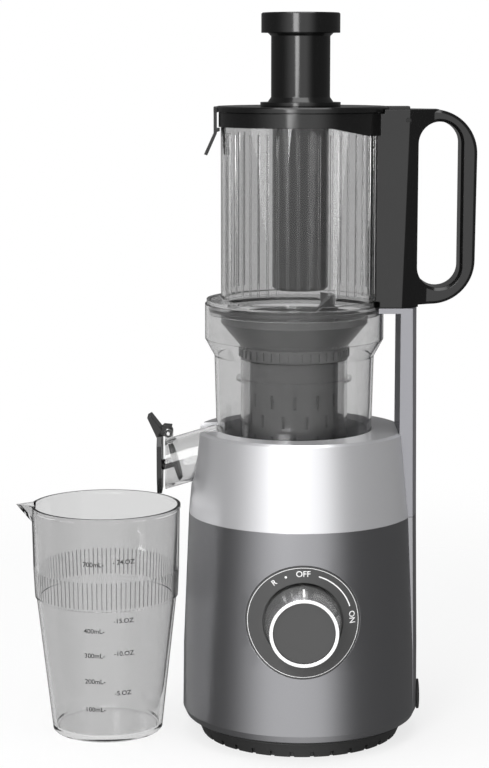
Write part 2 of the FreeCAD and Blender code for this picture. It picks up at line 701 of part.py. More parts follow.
def round_pair(z_from, z_to, first_r, second_r):
    """Slab round the drive shaft and the countershaft, with straight sides that touch both rounds."""
    x = DRIVE_AT[0]
    distance = COUNTER_AT[1] - DRIVE_AT[1]
    lean = math.asin((first_r - second_r) / distance)
    side_x = math.cos(lean)
    side_y = math.sin(lean)
    points = [
        (x + first_r * side_x, DRIVE_AT[1] + first_r * side_y),
        (x + second_r * side_x, COUNTER_AT[1] + second_r * side_y),
        (x - second_r * side_x, COUNTER_AT[1] + second_r * side_y),
        (x - first_r * side_x, DRIVE_AT[1] + first_r * side_y),
    ]
    rounds = [rod(first_r, z_from, z_to, *DRIVE_AT), rod(second_r, z_from, z_to, *COUNTER_AT)]
    return plan_slab(points, z_from, z_to).fuse(rounds)


def gearbox_case():
    """Cast case that holds both gear stages and carries the motor under its floor."""
    floor_top = CASE_FLOOR_Z + CASE_FLOOR_T
    body = round_pair(CASE_FLOOR_Z, CASE_TOP_Z, CASE_DRIVE_R, CASE_COUNTER_R)
    ears = [rod(EAR_R, CASE_TOP_Z - EAR_H, CASE_TOP_Z, x, y) for x, y in EARS]
    low = CASE_FLOOR_Z - 1
    tools = [
        round_pair(floor_top, CASE_TOP_Z + 1, CASE_DRIVE_R - CASE_WALL, CASE_COUNTER_R - CASE_WALL),
        rod(DRIVE_SHAFT_R + RUNNING, low, floor_top + 1, *DRIVE_AT),
        rod(COUNTERSHAFT_R + RUNNING, low, floor_top + 1, *COUNTER_AT),
        rod(MOTOR_SHAFT_R + 2, low, floor_top + 1, *MOTOR_AT),
    ]
    return body.fuse(ears).cut(tools)


def gearbox_cover():
    """Flat cover of the gearbox, clamped between the case and the bosses of the upper housing."""
    plate = round_pair(CASE_TOP_Z, COVER_TOP_Z, CASE_DRIVE_R, CASE_COUNTER_R)
    ears = [rod(EAR_R, CASE_TOP_Z, COVER_TOP_Z, x, y) for x, y in EARS]
    tools = [
        rod(DRIVE_SHAFT_R + RUNNING, CASE_TOP_Z - 1, COVER_TOP_Z + 1, *DRIVE_AT),
        rod(COUNTERSHAFT_R + RUNNING, CASE_TOP_Z - 1, CASE_TOP_Z + 3, *COUNTER_AT),
    ]
    return plate.fuse(ears).cut(tools)


def involute_point(base_r, radius, turn):
    """Point of an involute at a radius, with the curve's start turned by an angle."""
    roll = math.sqrt(max((radius / base_r) ** 2 - 1, 0))
    angle = turn + roll - math.atan(roll)
    return radius, angle


def gear(teeth, module, z, width, at, bore_r, flank_steps, start_angle, hub=None):
    """Spur gear with involute flanks, its first tooth centred on start_angle in degrees."""
    pitch_r = module * teeth / 2
    pressure = math.radians(PRESSURE_ANGLE)
    base_r = pitch_r * math.cos(pressure)
    tip_r = pitch_r + 0.95 * module
    root_r = pitch_r - 1.2 * module
    half_tooth = math.pi / (2 * teeth) - GEAR_THINNING / pitch_r
    start = math.tan(pressure) - pressure
    low_r = max(base_r, root_r)
    points = []
    for tooth in range(teeth):
        centre = math.radians(start_angle) + 2 * math.pi * tooth / teeth
        flank = [
            involute_point(base_r, along(low_r, tip_r, step / flank_steps), -half_tooth - start)
            for step in range(flank_steps + 1)
        ]
        if root_r < low_r:
            flank.insert(0, (root_r, flank[0][1]))
        rising = [(r, centre + angle) for r, angle in flank]
        falling = [(r, centre - angle) for r, angle in reversed(flank)]
        points += rising + falling
    wire_points = [Vector(at[0] + r * math.cos(a), at[1] + r * math.sin(a), z) for r, a in points]
    wire_points.append(wire_points[0])
    body = Part.Face(Part.makePolygon(wire_points)).extrude(Vector(0, 0, width))
    if hub:
        body = body.fuse(bush(bore_r, hub[0], hub[1], hub[2], *at))
    return body.cut(rod(bore_r, z - 50, z + width + 50, *at))


def mesh_angle(toward, teeth):
    """Start angle that puts a tooth gap of a gear on the line towards its mate."""
    return toward + 180.0 / teeth


def motor_can():
    """Motor housing with its stator, its shaft bores running fits."""
    bearing_r = MOTOR_SHAFT_R + RUNNING
    bore = ROTOR_R + ROTOR_GAP
    low = MOTOR_BOTTOM_Z
    high = CASE_FLOOR_Z
    return lathe([
        (bearing_r, low), (MOTOR_R, low), (MOTOR_R, high), (bearing_r, high),
        (bearing_r, high - MOTOR_WALL),
        (bore, high - MOTOR_WALL), (bore, low + MOTOR_WALL), (bearing_r, low + MOTOR_WALL),
    ], *MOTOR_AT)


def motor_rotor():
    """Rotor core on the motor shaft."""
    low = MOTOR_BOTTOM_Z + MOTOR_WALL + 6
    high = CASE_FLOOR_Z - MOTOR_WALL - 6
    bottom = MOTOR_BOTTOM_Z - 10
    top = FIRST_GEAR_Z + FIRST_GEAR_W + PINION_EXTRA
    shaft = MOTOR_SHAFT_R
    step = FIRST_GEAR_Z - PINION_EXTRA
    return lathe([
        (0, bottom), (shaft, bottom), (shaft, low), (ROTOR_R, low), (ROTOR_R, high), (shaft, high),
        (shaft, step), (PINION_BORE_R, step), (PINION_BORE_R, top), (0, top),
    ], *MOTOR_AT)


def motor_fan():
    """Cooling fan on the lower end of the motor shaft."""
    high = MOTOR_BOTTOM_Z - 1.5
    low = high - 8
    hub = bush(MOTOR_SHAFT_R, 9.0, low, high, *MOTOR_AT)
    blade = block((MOTOR_AT[0] + 8, MOTOR_AT[0] + FAN_R), (MOTOR_AT[1] - 0.8, MOTOR_AT[1] + 0.8), (low, high))
    return hub.fuse(ring_of(blade, FAN_BLADES, *MOTOR_AT))


def angle_between(start, end):
    """Direction in degrees from one place in plan to another."""
    return math.degrees(math.atan2(end[1] - start[1], end[0] - start[0]))


def motor_pinion():
    """Small pinion on the motor shaft."""
    toward = angle_between(MOTOR_AT, COUNTER_AT)
    return gear(
        PINION_TEETH, FIRST_MODULE, FIRST_GEAR_Z - PINION_EXTRA, FIRST_GEAR_W + 2 * PINION_EXTRA,
        MOTOR_AT, PINION_BORE_R, 3, toward,
    )


def first_gear():
    """Large gear of the first stage on the countershaft."""
    toward = angle_between(COUNTER_AT, MOTOR_AT)
    hub = (8.0, CASE_FLOOR_Z + CASE_FLOOR_T + 0.4, SECOND_GEAR_Z - PINION_EXTRA)
    return gear(
        WHEEL_TEETH, FIRST_MODULE, FIRST_GEAR_Z, FIRST_GEAR_W, COUNTER_AT, COUNTERSHAFT_R, 1,
        mesh_angle(toward, WHEEL_TEETH), hub,
    )


def second_pinion():
    """Pinion of the second stage on the countershaft."""
    toward = angle_between(COUNTER_AT, DRIVE_AT)
    return gear(
        PINION_TEETH, SECOND_MODULE, SECOND_GEAR_Z - PINION_EXTRA, SECOND_GEAR_W + 2 * PINION_EXTRA,
        COUNTER_AT, COUNTERSHAFT_R, 3, toward,
    )


def countershaft():
    """Shaft that both middle gears are fixed on."""
    return rod(COUNTERSHAFT_R, CASE_FLOOR_Z + 0.5, CASE_TOP_Z + 2.5, *COUNTER_AT)


def output_gear():
    """Large gear of the second stage on the drive shaft."""
    toward = angle_between(DRIVE_AT, COUNTER_AT)
    hub = (11.0, SECOND_GEAR_Z - 3, SECOND_GEAR_Z + SECOND_GEAR_W + 3)
    return gear(
        WHEEL_TEETH, SECOND_MODULE, SECOND_GEAR_Z, SECOND_GEAR_W, DRIVE_AT, DRIVE_SHAFT_R, 1,
        mesh_angle(toward, WHEEL_TEETH), hub,
    )


def hexagon(flats, z_from, z_to):
    """Upright hexagonal bar on the bowl's axis."""
    radius = flats / math.sqrt(3)
    turns = [math.radians(60 * i) for i in range(6)]
    points = [(BOWL_X + radius * math.cos(turn), radius * math.sin(turn)) for turn in turns]
    return plan_slab(points, z_from, z_to)


def drive_shaft():
    """Output shaft with a shoulder under its gear and a hex end for the auger."""
    shoulder_z = CASE_FLOOR_Z + CASE_FLOOR_T + 0.4
    round_part = lathe([
        (0, CASE_FLOOR_Z + 0.5), (DRIVE_SHAFT_R, CASE_FLOOR_Z + 0.5), (DRIVE_SHAFT_R, shoulder_z),
        (DRIVE_SHAFT_R + 2.5, shoulder_z), (DRIVE_SHAFT_R + 2.5, SECOND_GEAR_Z - 3),
        (DRIVE_SHAFT_R, SECOND_GEAR_Z - 3),
        (DRIVE_SHAFT_R, SHAFT_ROUND_TOP_Z), (0, SHAFT_ROUND_TOP_Z),
    ], *DRIVE_AT)
    return round_part.fuse(hexagon(HEX_FLATS, SHAFT_ROUND_TOP_Z - 1, SHAFT_TOP_Z))


def shaft_bush():
    """Long bush of the drive shaft in the recess hub."""
    return bush(DRIVE_SHAFT_R + RUNNING, HUB_BORE_R, COVER_TOP_Z + 4, HUB_TOP_Z - 5.5, BOWL_X)


def shaft_seal():
    """Rubber seal over the bush that keeps juice out of the base."""
    high = HUB_TOP_Z
    return lathe([
        (DRIVE_SHAFT_R + RUNNING, high - 5), (HUB_BORE_R, high - 5), (HUB_BORE_R, high),
        (DRIVE_SHAFT_R + 1.6, high), (DRIVE_SHAFT_R + RUNNING, high - 1.5),
    ], BOWL_X)


def control_board():
    """Circuit board with its relay, capacitor and connectors, held between two ribs."""
    board = block((BOARD_X, BOARD_X + BOARD_T), (-BOARD_HALF, BOARD_HALF), (BOARD_Z, BOARD_Z + BOARD_H))
    face = BOARD_X + BOARD_T
    relay = block((face, face + 10), (-24, -9), (BOARD_Z + 40, BOARD_Z + 59))
    plug = block((face, face + 8), (0, 22), (BOARD_Z + 6, BOARD_Z + 14))
    capacitor = Part.makeCylinder(7.5, 14, Vector(face, 12, BOARD_Z + 48), Vector(1, 0, 0))
    return board.fuse([relay, plug, capacitor])


def rotary_switch():
    """Selector switch screwed behind the dial seat."""
    front = seat_floor_y() + SEAT_FLOOR_T + TOUCH
    body = rod_along_y(SWITCH_R, front, front + SWITCH_DEPTH, 0, DIAL_Z)
    tabs = [
        block((x - 0.4, x + 0.4), (front + SWITCH_DEPTH, front + SWITCH_DEPTH + 7), (DIAL_Z - 10, DIAL_Z - 4))
        for x in (-9, -3, 3, 9)
    ]
    bore = rod_along_y(SPINDLE_R + RUNNING, front - 1, front + SWITCH_DEPTH - 2, 0, DIAL_Z)
    return body.fuse(tabs).cut(bore)


def reed_sensor():
    """Sensor in the tower's top that feels the handle's magnet."""
    middle = (TOWER_INNER_R + TOWER_TOP_R) / 2
    top = TOWER_TOP_Z - TOWER_WALL - TOUCH
    return block((middle - 1.0, middle + 1.0), (-8, 8), (top - 4, top))


def on_knob_axis(shape):
    """Shape built upwards from the origin, laid along the knob's axis towards the front."""
    shape.rotate(Vector(0, 0, 0), Vector(1, 0, 0), 90)
    shape.translate(Vector(0, seat_floor_y() - KNOB_GAP, DIAL_Z))
    return shape


def knob_trim():
    """Bright conical skirt and front ring of the knob, with the pointer on its top."""
    ring_inner = KNOB_FACE_R - KNOB_RING_W
    skirt = lathe([
        (KNOB_BASE_R - KNOB_WALL, 0), (KNOB_BASE_R, 0), (KNOB_FACE_R, KNOB_LENGTH),
        (ring_inner, KNOB_LENGTH), (ring_inner, KNOB_LENGTH - KNOB_WALL),
        (KNOB_FACE_R - KNOB_WALL + 0.1, KNOB_LENGTH - KNOB_WALL),
    ])
    pointer = side_slab([
        (KNOB_BASE_R - 0.6, 0.4), (KNOB_BASE_R + 0.5, 0.4), (KNOB_FACE_R + 0.6, KNOB_LENGTH * 0.55),
        (KNOB_FACE_R - 0.2, KNOB_LENGTH * 0.75),
    ], -1.0, 1.0)
    return on_knob_axis(skirt.fuse(pointer))


def knob_core():
    """Dark inner knob with its flat face and the hub that grips the spindle."""
    face_r = KNOB_FACE_R - KNOB_RING_W - 0.15
    face_z = KNOB_LENGTH - 1.0
    wall_r = KNOB_FACE_R - KNOB_WALL - 0.25
    low_face = KNOB_LENGTH - KNOB_WALL - 0.1
    core = lathe([
        (KNOB_HUB_R, 1.0), (KNOB_HUB_R, face_z - KNOB_FACE_T), (wall_r, face_z - KNOB_FACE_T),
        (wall_r, low_face),
        (face_r, low_face), (face_r, face_z), (0, face_z), (0, SPINDLE_GRIP),
        (SPINDLE_R, SPINDLE_GRIP), (SPINDLE_R, 1.0),
    ])
    return on_knob_axis(core)


def knob_shaft():
    """Spindle from the switch into the knob's hub."""
    inner_y = seat_floor_y() + SEAT_FLOOR_T + TOUCH + SWITCH_DEPTH - 3
    return rod_along_y(SPINDLE_R, seat_floor_y() - KNOB_GAP - SPINDLE_GRIP, inner_y, 0, DIAL_Z)


def bowl_outline(offset):
    """Bowl wall corners from the bottom up, moved inwards by an offset."""
    return [
        (BOWL_WAIST_R - offset, BOWL_FLOOR_Z),
        (BOWL_SHOULDER_R - offset, BOWL_SHOULDER_Z),
        (BOWL_RING_R - offset, BOWL_RING_Z),
        (BOWL_RING_R - offset, BOWL_TOP_Z),
    ]


def bowl():
    """Clear bowl with its spout, pulp chute, centre hub and foot."""
    floor_top = BOWL_FLOOR_Z + BOWL_WALL
    outside = bowl_outline(0)
    inside = bowl_outline(BOWL_WALL)
    inside[0] = (inside[0][0], floor_top)
    profile = [(BOWL_SEAL_R, BOWL_FLOOR_Z), (BOWL_FOOT_R - 6, BOWL_FLOOR_Z), (BOWL_FOOT_R - 6, BOWL_BOTTOM_Z)]
    profile += [(BOWL_FOOT_R, BOWL_BOTTOM_Z), (BOWL_FOOT_R, BOWL_FLOOR_Z)] + outside + inside[::-1]
    profile += [(BOWL_HUB_R, floor_top), (BOWL_HUB_R, BOWL_HUB_TOP_Z), (BOWL_SEAL_R, BOWL_HUB_TOP_Z)]
    wall = lathe(profile, BOWL_X)
    hollow = lathe([(0, floor_top)] + inside + [(0, BOWL_TOP_Z)], BOWL_X)
    inner_x = BOWL_X - BOWL_WAIST_R + 12
    tube = spout_rod(SPOUT_R, inner_x, SPOUT_END_X - 12).cut(hollow)
    tube = tube.cut(block((-150, SPOUT_END_X), (-40, 40), (150, 250)))
    ear_low = CAP_KNUCKLE_HALF + TOUCH
    for side in (-1, 1):
        ear_y = sorted((side * ear_low, side * (ear_low + CAP_EAR_T)))
        ear = rod_along_y(CAP_KNUCKLE_R, *ear_y, CAP_PIN_X, cap_pin_z())
        stem_x = (CAP_PIN_X - CAP_KNUCKLE_R + 0.6, CAP_PIN_X + CAP_KNUCKLE_R)
        stem_block = block(stem_x, ear_y, (cap_pin_z() - 9, cap_pin_z()))
        tube = tube.fuse([ear, stem_block])
    chute_from = SLEEVE_R + SLIDING + 1.0
    above_floor = block((-60, 60), (0, 120), (floor_top - 1, 230))
    chute = chute_block(CHUTE_WALL, chute_from, chute_end_y()).common(above_floor)
    body = wall.fuse([tube, chute])
    hub_room = rod(BOWL_HUB_R + 3, floor_top, BOWL_HUB_TOP_Z, BOWL_X)
    sleeve_room = rod(SLEEVE_R + SLIDING, floor_top, BOWL_SHOULDER_Z, BOWL_X).cut(hub_room)
    tools = [
        spout_rod(SPOUT_R - SPOUT_WALL, inner_x, SPOUT_END_X - 12),
        rod_along_y(CAP_PIN_R, -30, 30, CAP_PIN_X, cap_pin_z()),
        chute_block(0, chute_from - 12, chute_end_y() + 10),
        sleeve_room,
    ]
    return body.cut(tools)


def bowl_seal():
    """Soft ring in the bowl's hub that closes it round the drive shaft."""
    return bush(DRIVE_SHAFT_R + RUNNING, BOWL_SEAL_R, BOWL_FLOOR_Z + 1, BOWL_HUB_TOP_Z - 1, BOWL_X)


def spout_hinge_pin():
    """Pin of the spout cap, fixed in the bowl's two ears."""
    half = CAP_KNUCKLE_HALF + TOUCH + CAP_EAR_T
    return rod_along_y(CAP_PIN_R, -half, half, CAP_PIN_X, cap_pin_z())


def cap_pin_z():
    """Height of the cap's hinge pin over the spout's mouth."""
    return spout_axis_z(CAP_PIN_X) + SPOUT_R + CAP_PIN_RISE


def spout_cap():
    """Black cap of the spout: plate, thumb lever, hinge knuckle and the stem of its plug."""
    pin_z = cap_pin_z()
    back_x = CAP_PLATE_X
    face_x = back_x + CAP_PLATE_T
    half = SPOUT_R + CAP_MARGIN
    low = spout_axis_z(CAP_PIN_X) - SPOUT_R - 2.2
    high = pin_z - 1.4
    plate = side_slab([
        (-half + CAP_CORNER, low), (half - CAP_CORNER, low), (half, low + 2 * CAP_CORNER),
        (half, high - CAP_CORNER),
        (half - CAP_CORNER, high), (-half + CAP_CORNER, high), (-half, high - CAP_CORNER),
        (-half, low + 2 * CAP_CORNER),
    ], back_x, face_x)
    knuckle = rod_along_y(CAP_KNUCKLE_R, -CAP_KNUCKLE_HALF, CAP_KNUCKLE_HALF, CAP_PIN_X, pin_z)
    top = pin_z + CAP_KNUCKLE_R
    arm = front_slab([
        (back_x, high - 8), (face_x, high - 8), (face_x, pin_z - 2.2), (CAP_PIN_X, pin_z - 2.2),
        (CAP_PIN_X, top),
        (back_x - 0.4, top + 0.6),
    ], -CAP_KNUCKLE_HALF, CAP_KNUCKLE_HALF)
    lever = front_slab([
        (back_x, high - 2), (back_x + 3.2, top), (back_x - 4.2, top + 9.6), (back_x - 6.8, top + 8.2),
    ], -9, 9)
    arch = front_slab([
        (back_x + 1.5, top - 0.6), (CAP_PIN_X - 3.0, top + 2.4), (CAP_PIN_X + 2.6, top + 1.9),
        (CAP_PIN_X + 2.2, top - 0.4),
        (CAP_PIN_X + 0.6, top - 0.6),
    ], -4.5, 4.5)
    stem = spout_rod(3.6, PLUG_X, face_x - 2.0).cut(block((back_x - 60, face_x - 1), (-20, 20), (low, high)))
    body = plate.fuse([knuckle, arm, lever, arch, stem])
    return body.cut(rod_along_y(CAP_PIN_R + RUNNING, -30, 30, CAP_PIN_X, pin_z))


def spout_plug():
    """Soft disc on the cap's stem that shuts the spout's bore."""
    radius = SPOUT_R - SPOUT_WALL - PLUG_GAP
    disc = lathe([(0, 0), (radius, 0), (radius - 1.4, PLUG_T), (0, PLUG_T)])
    disc.rotate(Vector(0, 0, 0), Vector(0, 1, 0), 90 - SPOUT_SLOPE)
    disc.translate(Vector(PLUG_X, 0, spout_axis_z(PLUG_X)))
    return disc


def strainer():
    """Grey strainer: funnel, toothed collar and slotted cylinder round the auger."""
    inner = STRAINER_R - STRAINER_WALL
    body = lathe([
        (inner, STRAINER_BOTTOM_Z), (STRAINER_R, STRAINER_BOTTOM_Z), (STRAINER_R, COLLAR_BOTTOM_Z),
        (COLLAR_R, COLLAR_BOTTOM_Z), (COLLAR_R, COLLAR_TOP_Z), (FUNNEL_R, FUNNEL_Z),
        (FUNNEL_R, FUNNEL_TOP_Z),
        (FUNNEL_R - FUNNEL_WALL, FUNNEL_TOP_Z), (FUNNEL_R - FUNNEL_WALL, FUNNEL_Z + 1),
        (inner + 2.5, COLLAR_TOP_Z - 1),
        (inner, COLLAR_BOTTOM_Z),
    ], BOWL_X)
    tooth = block(
        (BOWL_X + COLLAR_R - 0.6, BOWL_X + COLLAR_R + COLLAR_TOOTH), (-1.2, 1.2),
        (COLLAR_BOTTOM_Z + 1.6, COLLAR_TOP_Z - 1.4)
    )
    teeth = ring_of(tooth, COLLAR_TEETH, BOWL_X)
    tools = []
    for row in range(SLOT_ROWS):
        z = SLOT_TOP_Z - row * SLOT_ROW_PITCH
        slot_x = (BOWL_X + inner - 2, BOWL_X + STRAINER_R + 2)
        slot = block(slot_x, (-SLOT_W / 2, SLOT_W / 2), (z - SLOT_H, z))
        tools += ring_of(slot, SLOT_COUNT, BOWL_X, start=row * 180.0 / SLOT_COUNT)
    window_z = STRAINER_BOTTOM_Z + WINDOW_LIFT
    window_x = (BOWL_X - WINDOW_HALF_W, BOWL_X + WINDOW_HALF_W)
    tools.append(block(window_x, (0, STRAINER_R + 5), (window_z, window_z + 12)))
    return body.fuse(teeth).cut(tools)


def strainer_sleeve():
    """Clear sleeve between the strainer and the bowl, with its ring flange and juice window."""
    inner = SLEEVE_R - SLEEVE_WALL
    flange_low = SLEEVE_FLANGE_Z
    body = lathe([
        (inner, STRAINER_BOTTOM_Z), (SLEEVE_R, STRAINER_BOTTOM_Z), (SLEEVE_R, flange_low),
        (SLEEVE_FLANGE_R, flange_low),
        (SLEEVE_FLANGE_R, flange_low + SLEEVE_FLANGE_T), (SLEEVE_R, flange_low + SLEEVE_FLANGE_T),
        (SLEEVE_R, COLLAR_BOTTOM_Z - SLIDING), (inner, COLLAR_BOTTOM_Z - SLIDING),
    ], BOWL_X)
    window = (STRAINER_BOTTOM_Z + WINDOW_LIFT, STRAINER_BOTTOM_Z + 22)
    juice = block((BOWL_X - SLEEVE_R - 5, BOWL_X), (-WINDOW_HALF_W, WINDOW_HALF_W), window)
    pulp = block((BOWL_X - WINDOW_HALF_W - 1, BOWL_X + WINDOW_HALF_W + 1), (0, SLEEVE_R + 5), window)
    return body.cut([juice, pulp])


def pulp_plug():
    """Soft flap that holds the pulp back between the strainer and the chute."""
    low = STRAINER_BOTTOM_Z + WINDOW_LIFT
    half = WINDOW_HALF_W - 2
    return block((BOWL_X - half, BOWL_X + half), (STRAINER_R + SEAM, SLEEVE_R), (low, low + 6))


def auger():
    """Slow squeezing screw with its helical flight and the tall cutting wing."""
    core = lathe([
        (0, AUGER_BOTTOM_Z), (AUGER_ROOT_R, AUGER_BOTTOM_Z), (AUGER_NECK_R, AUGER_NECK_Z),
        (AUGER_TIP_R, AUGER_TIP_Z - 3), (AUGER_TIP_R - 3, AUGER_TIP_Z), (0, AUGER_TIP_Z),
    ], BOWL_X)
    pocket = rod(HUB_POCKET_R, AUGER_BOTTOM_Z - 1, SOCKET_BOTTOM_Z - 1.0, BOWL_X)
    socket = rod(SOCKET_R, SOCKET_BOTTOM_Z - 2, SOCKET_TOP_Z, BOWL_X)
    return core.fuse(auger_flight()).fuse(auger_wing()).cut([pocket, socket])


def auger_flight():
    """Helical flight, thick at its root, that drags the fruit down the strainer."""
    flight_r = STRAINER_R - STRAINER_WALL - AUGER_GAP
    root = AUGER_NECK_R - FLIGHT_BITE
    half_root = FLIGHT_ROOT_W / 2
    half_tip = FLIGHT_TIP_W / 2
    corners = [
        (root, -half_root), (flight_r, -half_tip), (flight_r, half_tip), (root, half_root),
        (root, -half_root),
    ]
    section = Part.makePolygon([Vector(r, 0, z) for r, z in corners])
    helix = Part.makeHelix(FLIGHT_PITCH, FLIGHT_END_Z - FLIGHT_START_Z, root)
    flight = Part.Wire(helix.Edges).makePipeShell([section], True, True)
    flight.translate(Vector(BOWL_X, 0, FLIGHT_START_Z))
    return turned(flight, FLIGHT_START_TURN, BOWL_X)


def auger_wing():
    """Curved blade that sweeps from the auger's tip out to the funnel's wall."""
    turn = math.radians(WING_START + 90)
    centre = (BOWL_X + WING_CURVE_R * math.cos(turn), WING_CURVE_R * math.sin(turn))
    low = AUGER_NECK_Z - 4
    blade = bush(WING_CURVE_R - WING_T / 2, WING_CURVE_R + WING_T / 2, low, WING_TOP_Z, *centre)
    ahead = turned(block((BOWL_X, 100), (-100, 100), (low, WING_TOP_Z)), WING_START, BOWL_X)
    reach = lathe([
        (0, low), (AUGER_NECK_R + 6, low), (AUGER_NECK_R + 9, COLLAR_TOP_Z + 1),
        (WING_OUTER_R, FUNNEL_Z - 3.5),
        (WING_OUTER_R, WING_TOP_Z), (WING_OUTER_R - 12, WING_TOP_Z), (AUGER_TIP_R, AUGER_TIP_Z + 1),
        (0, AUGER_TIP_Z - 1),
    ], BOWL_X)
    return blade.common(ahead).common(reach)


def auger_socket():
    """Metal socket in the auger that fits over the drive shaft's hex end."""
    ring = rod(SOCKET_R, SOCKET_BOTTOM_Z, SOCKET_TOP_Z, BOWL_X)
    return ring.cut(hexagon(HEX_FLATS + 2 * HEX_GAP, SOCKET_BOTTOM_Z - 1, SHAFT_TOP_Z + 0.8))


def hopper():
    """Clear ribbed hopper with its offset flange and the spigot that sits in the bowl."""
    inner = HOPPER_R - HOPPER_WALL
    spigot_inner = SPIGOT_R - SPIGOT_WALL
    bottom = HOPPER_BOTTOM_Z - SPIGOT_DEPTH
    throat_r = spigot_inner - 1.5
    body = lathe([
        (spigot_inner, bottom), (SPIGOT_R, bottom), (SPIGOT_R, HOPPER_SEAL_Z),
        (SPIGOT_R - 1, HOPPER_SEAL_Z),
        (SPIGOT_R - 1, HOPPER_SEAL_Z + HOPPER_SEAL_H), (SPIGOT_R, HOPPER_SEAL_Z + HOPPER_SEAL_H),
        (SPIGOT_R, HOPPER_BOTTOM_Z),
        (FLANGE_R, HOPPER_BOTTOM_Z), (FLANGE_R, HOPPER_BOTTOM_Z + FLANGE_T),
        (inner - 6, HOPPER_BOTTOM_Z + FLANGE_T),
        (inner - 6, HOPPER_BOTTOM_Z), (spigot_inner, HOPPER_BOTTOM_Z),
    ], BOWL_X)
    tube = bush(inner, HOPPER_R, HOPPER_BOTTOM_Z, HOPPER_TOP_Z)
    opening = rod(inner, bottom, HOPPER_TOP_Z + 5).common(rod(throat_r, bottom, HOPPER_TOP_Z + 5, BOWL_X))
    rib = block((inner - RIB_PROUD, inner + 0.5), (-RIB_W / 2, RIB_W / 2), (RIB_BOTTOM_Z, RIB_TOP_Z))
    return tube.fuse(body).cut(opening).fuse(ring_of(rib, RIB_COUNT, start=180.0 / RIB_COUNT))


def hopper_seal():
    """Soft ring in the spigot's groove that closes the hopper against the bowl."""
    outer = SPIGOT_R + SPIGOT_GAP - TOUCH
    return bush(SPIGOT_R - 1, outer, HOPPER_SEAL_Z, HOPPER_SEAL_Z + HOPPER_SEAL_H, BOWL_X)


def hopper_collar():
    """Black band round the hopper's top, deeper towards the handle, with the keyway of the latch."""
    inner = HOPPER_R + TOUCH
    band = bush(inner, COLLAR_BAND_R, BAND_DEEP_Z, HOPPER_TOP_Z)
    far = COLLAR_BAND_R + 5
    low = BAND_DEEP_Z - 5
    slant = front_slab([
        (-far, low), (far, low), (far, BAND_DEEP_Z), (far * 0.7, BAND_DEEP_Z),
        (far * 0.3, BAND_BOTTOM_Z), (-far, BAND_BOTTOM_Z),
    ], -far, far)
    keyway = block((-far, 0), (-LATCH_HALF - 0.6, LATCH_HALF + 0.6), (low, HOPPER_TOP_Z + 5))
    keyway = keyway.cut(rod(HOPPER_R + SEAM, low - 1, HOPPER_TOP_Z + 6))
    return band.cut([slant, keyway])


def handle_prism(half, inner_x):
    """Handle's front-view outline with rounded outer corners, extruded to a half width."""
    points = [
        (inner_x, HANDLE_BOTTOM_Z), (HANDLE_OUTER_X - 1.2, HANDLE_BOTTOM_Z, HANDLE_OUTER_CORNER_R),
        (HANDLE_OUTER_X, HANDLE_TOP_Z, HANDLE_OUTER_CORNER_R), (inner_x, HANDLE_TOP_Z),
    ]
    return front_slab(points, -half, half)


def handle_hole(half):
    """Finger hole of the handle: a tall round-ended slot."""
    radius = (HOLE_RIGHT_X - HOLE_LEFT_X) / 2
    points = [
        (HOLE_LEFT_X, HOLE_BOTTOM_Z, radius), (HOLE_RIGHT_X, HOLE_BOTTOM_Z, radius),
        (HOLE_RIGHT_X, HOLE_TOP_Z, radius), (HOLE_LEFT_X, HOLE_TOP_Z, radius),
    ]
    return front_slab(points, -half, half)


def on_grip_face(edge):
    """True for the edges round the two flat faces of the grip."""
    middle = edge.CenterOfMass
    return abs(abs(middle.y) - HANDLE_GRIP_HALF) < 1e-3 and middle.x > HOPPER_R + 1


def handle():
    """Black handle: post against the hopper, sloping cheeks, and the loop for the hand."""
    post_low = HANDLE_POST_Z
    loop = handle_prism(HANDLE_GRIP_HALF, HOPPER_R).cut(handle_hole(HANDLE_GRIP_HALF + 1))
    rims = [e for e in loop.Edges if on_grip_face(e)]
    loop = loop.makeChamfer(HANDLE_EDGE, rims)

    def plan_wire(ridge_x, z):
        end_x = ridge_x + HANDLE_SLOPE
        corners = [
            (30, -HANDLE_POST_HALF), (ridge_x, -HANDLE_POST_HALF),
            (end_x, -HANDLE_GRIP_HALF + HANDLE_EDGE),
            (end_x, HANDLE_GRIP_HALF - HANDLE_EDGE), (ridge_x, HANDLE_POST_HALF), (30, HANDLE_POST_HALF),
        ]
        return outline(corners, lambda u, v: Vector(u, v, z))

    low_wire = plan_wire(HANDLE_RIDGE_BOTTOM_X, post_low)
    high_wire = plan_wire(HANDLE_RIDGE_TOP_X, HANDLE_TOP_Z)
    post = Part.makeLoft([low_wire, high_wire], True, True)
    foot_gap = block((HOLE_LEFT_X + 1, 200), (-50, 50), (post_low - 1, HANDLE_BOTTOM_Z))
    post = post.cut([handle_hole(60), foot_gap])
    slot_y = (-HINGE_SLOT_HALF, HINGE_SLOT_HALF)
    knuckle_room = HINGE_KNUCKLE_R + 0.8
    tools = [
        rod(COLLAR_BAND_R + TOUCH, BAND_DEEP_Z - TOUCH, HANDLE_TOP_Z + 5),
        rod(HOPPER_R + TOUCH, post_low - 5, HANDLE_TOP_Z + 5),
        rod(BOWL_RING_R + RING_CLEARANCE, post_low - 5, HOPPER_BOTTOM_Z + FLANGE_T + SLIDING, BOWL_X),
        block((0, HINGE_X + knuckle_room), slot_y, (HINGE_Z - knuckle_room, HANDLE_TOP_Z + 5)),
        block((0, HINGE_X + 11), slot_y, (HINGE_Z - 1.2, HANDLE_TOP_Z + 5)),
        rod(LID_R + 0.8, LID_BOTTOM_Z - 1.0, HANDLE_TOP_Z + 5),
        rod_along_y(HINGE_PIN_R, -60, 60, HINGE_X, HINGE_Z),
        rod(MAGNET_R + TOUCH, post_low - 1, post_low + MAGNET_T + 2 * TOUCH, MAGNET_X),
    ]
    return post.fuse(loop).cut(tools)


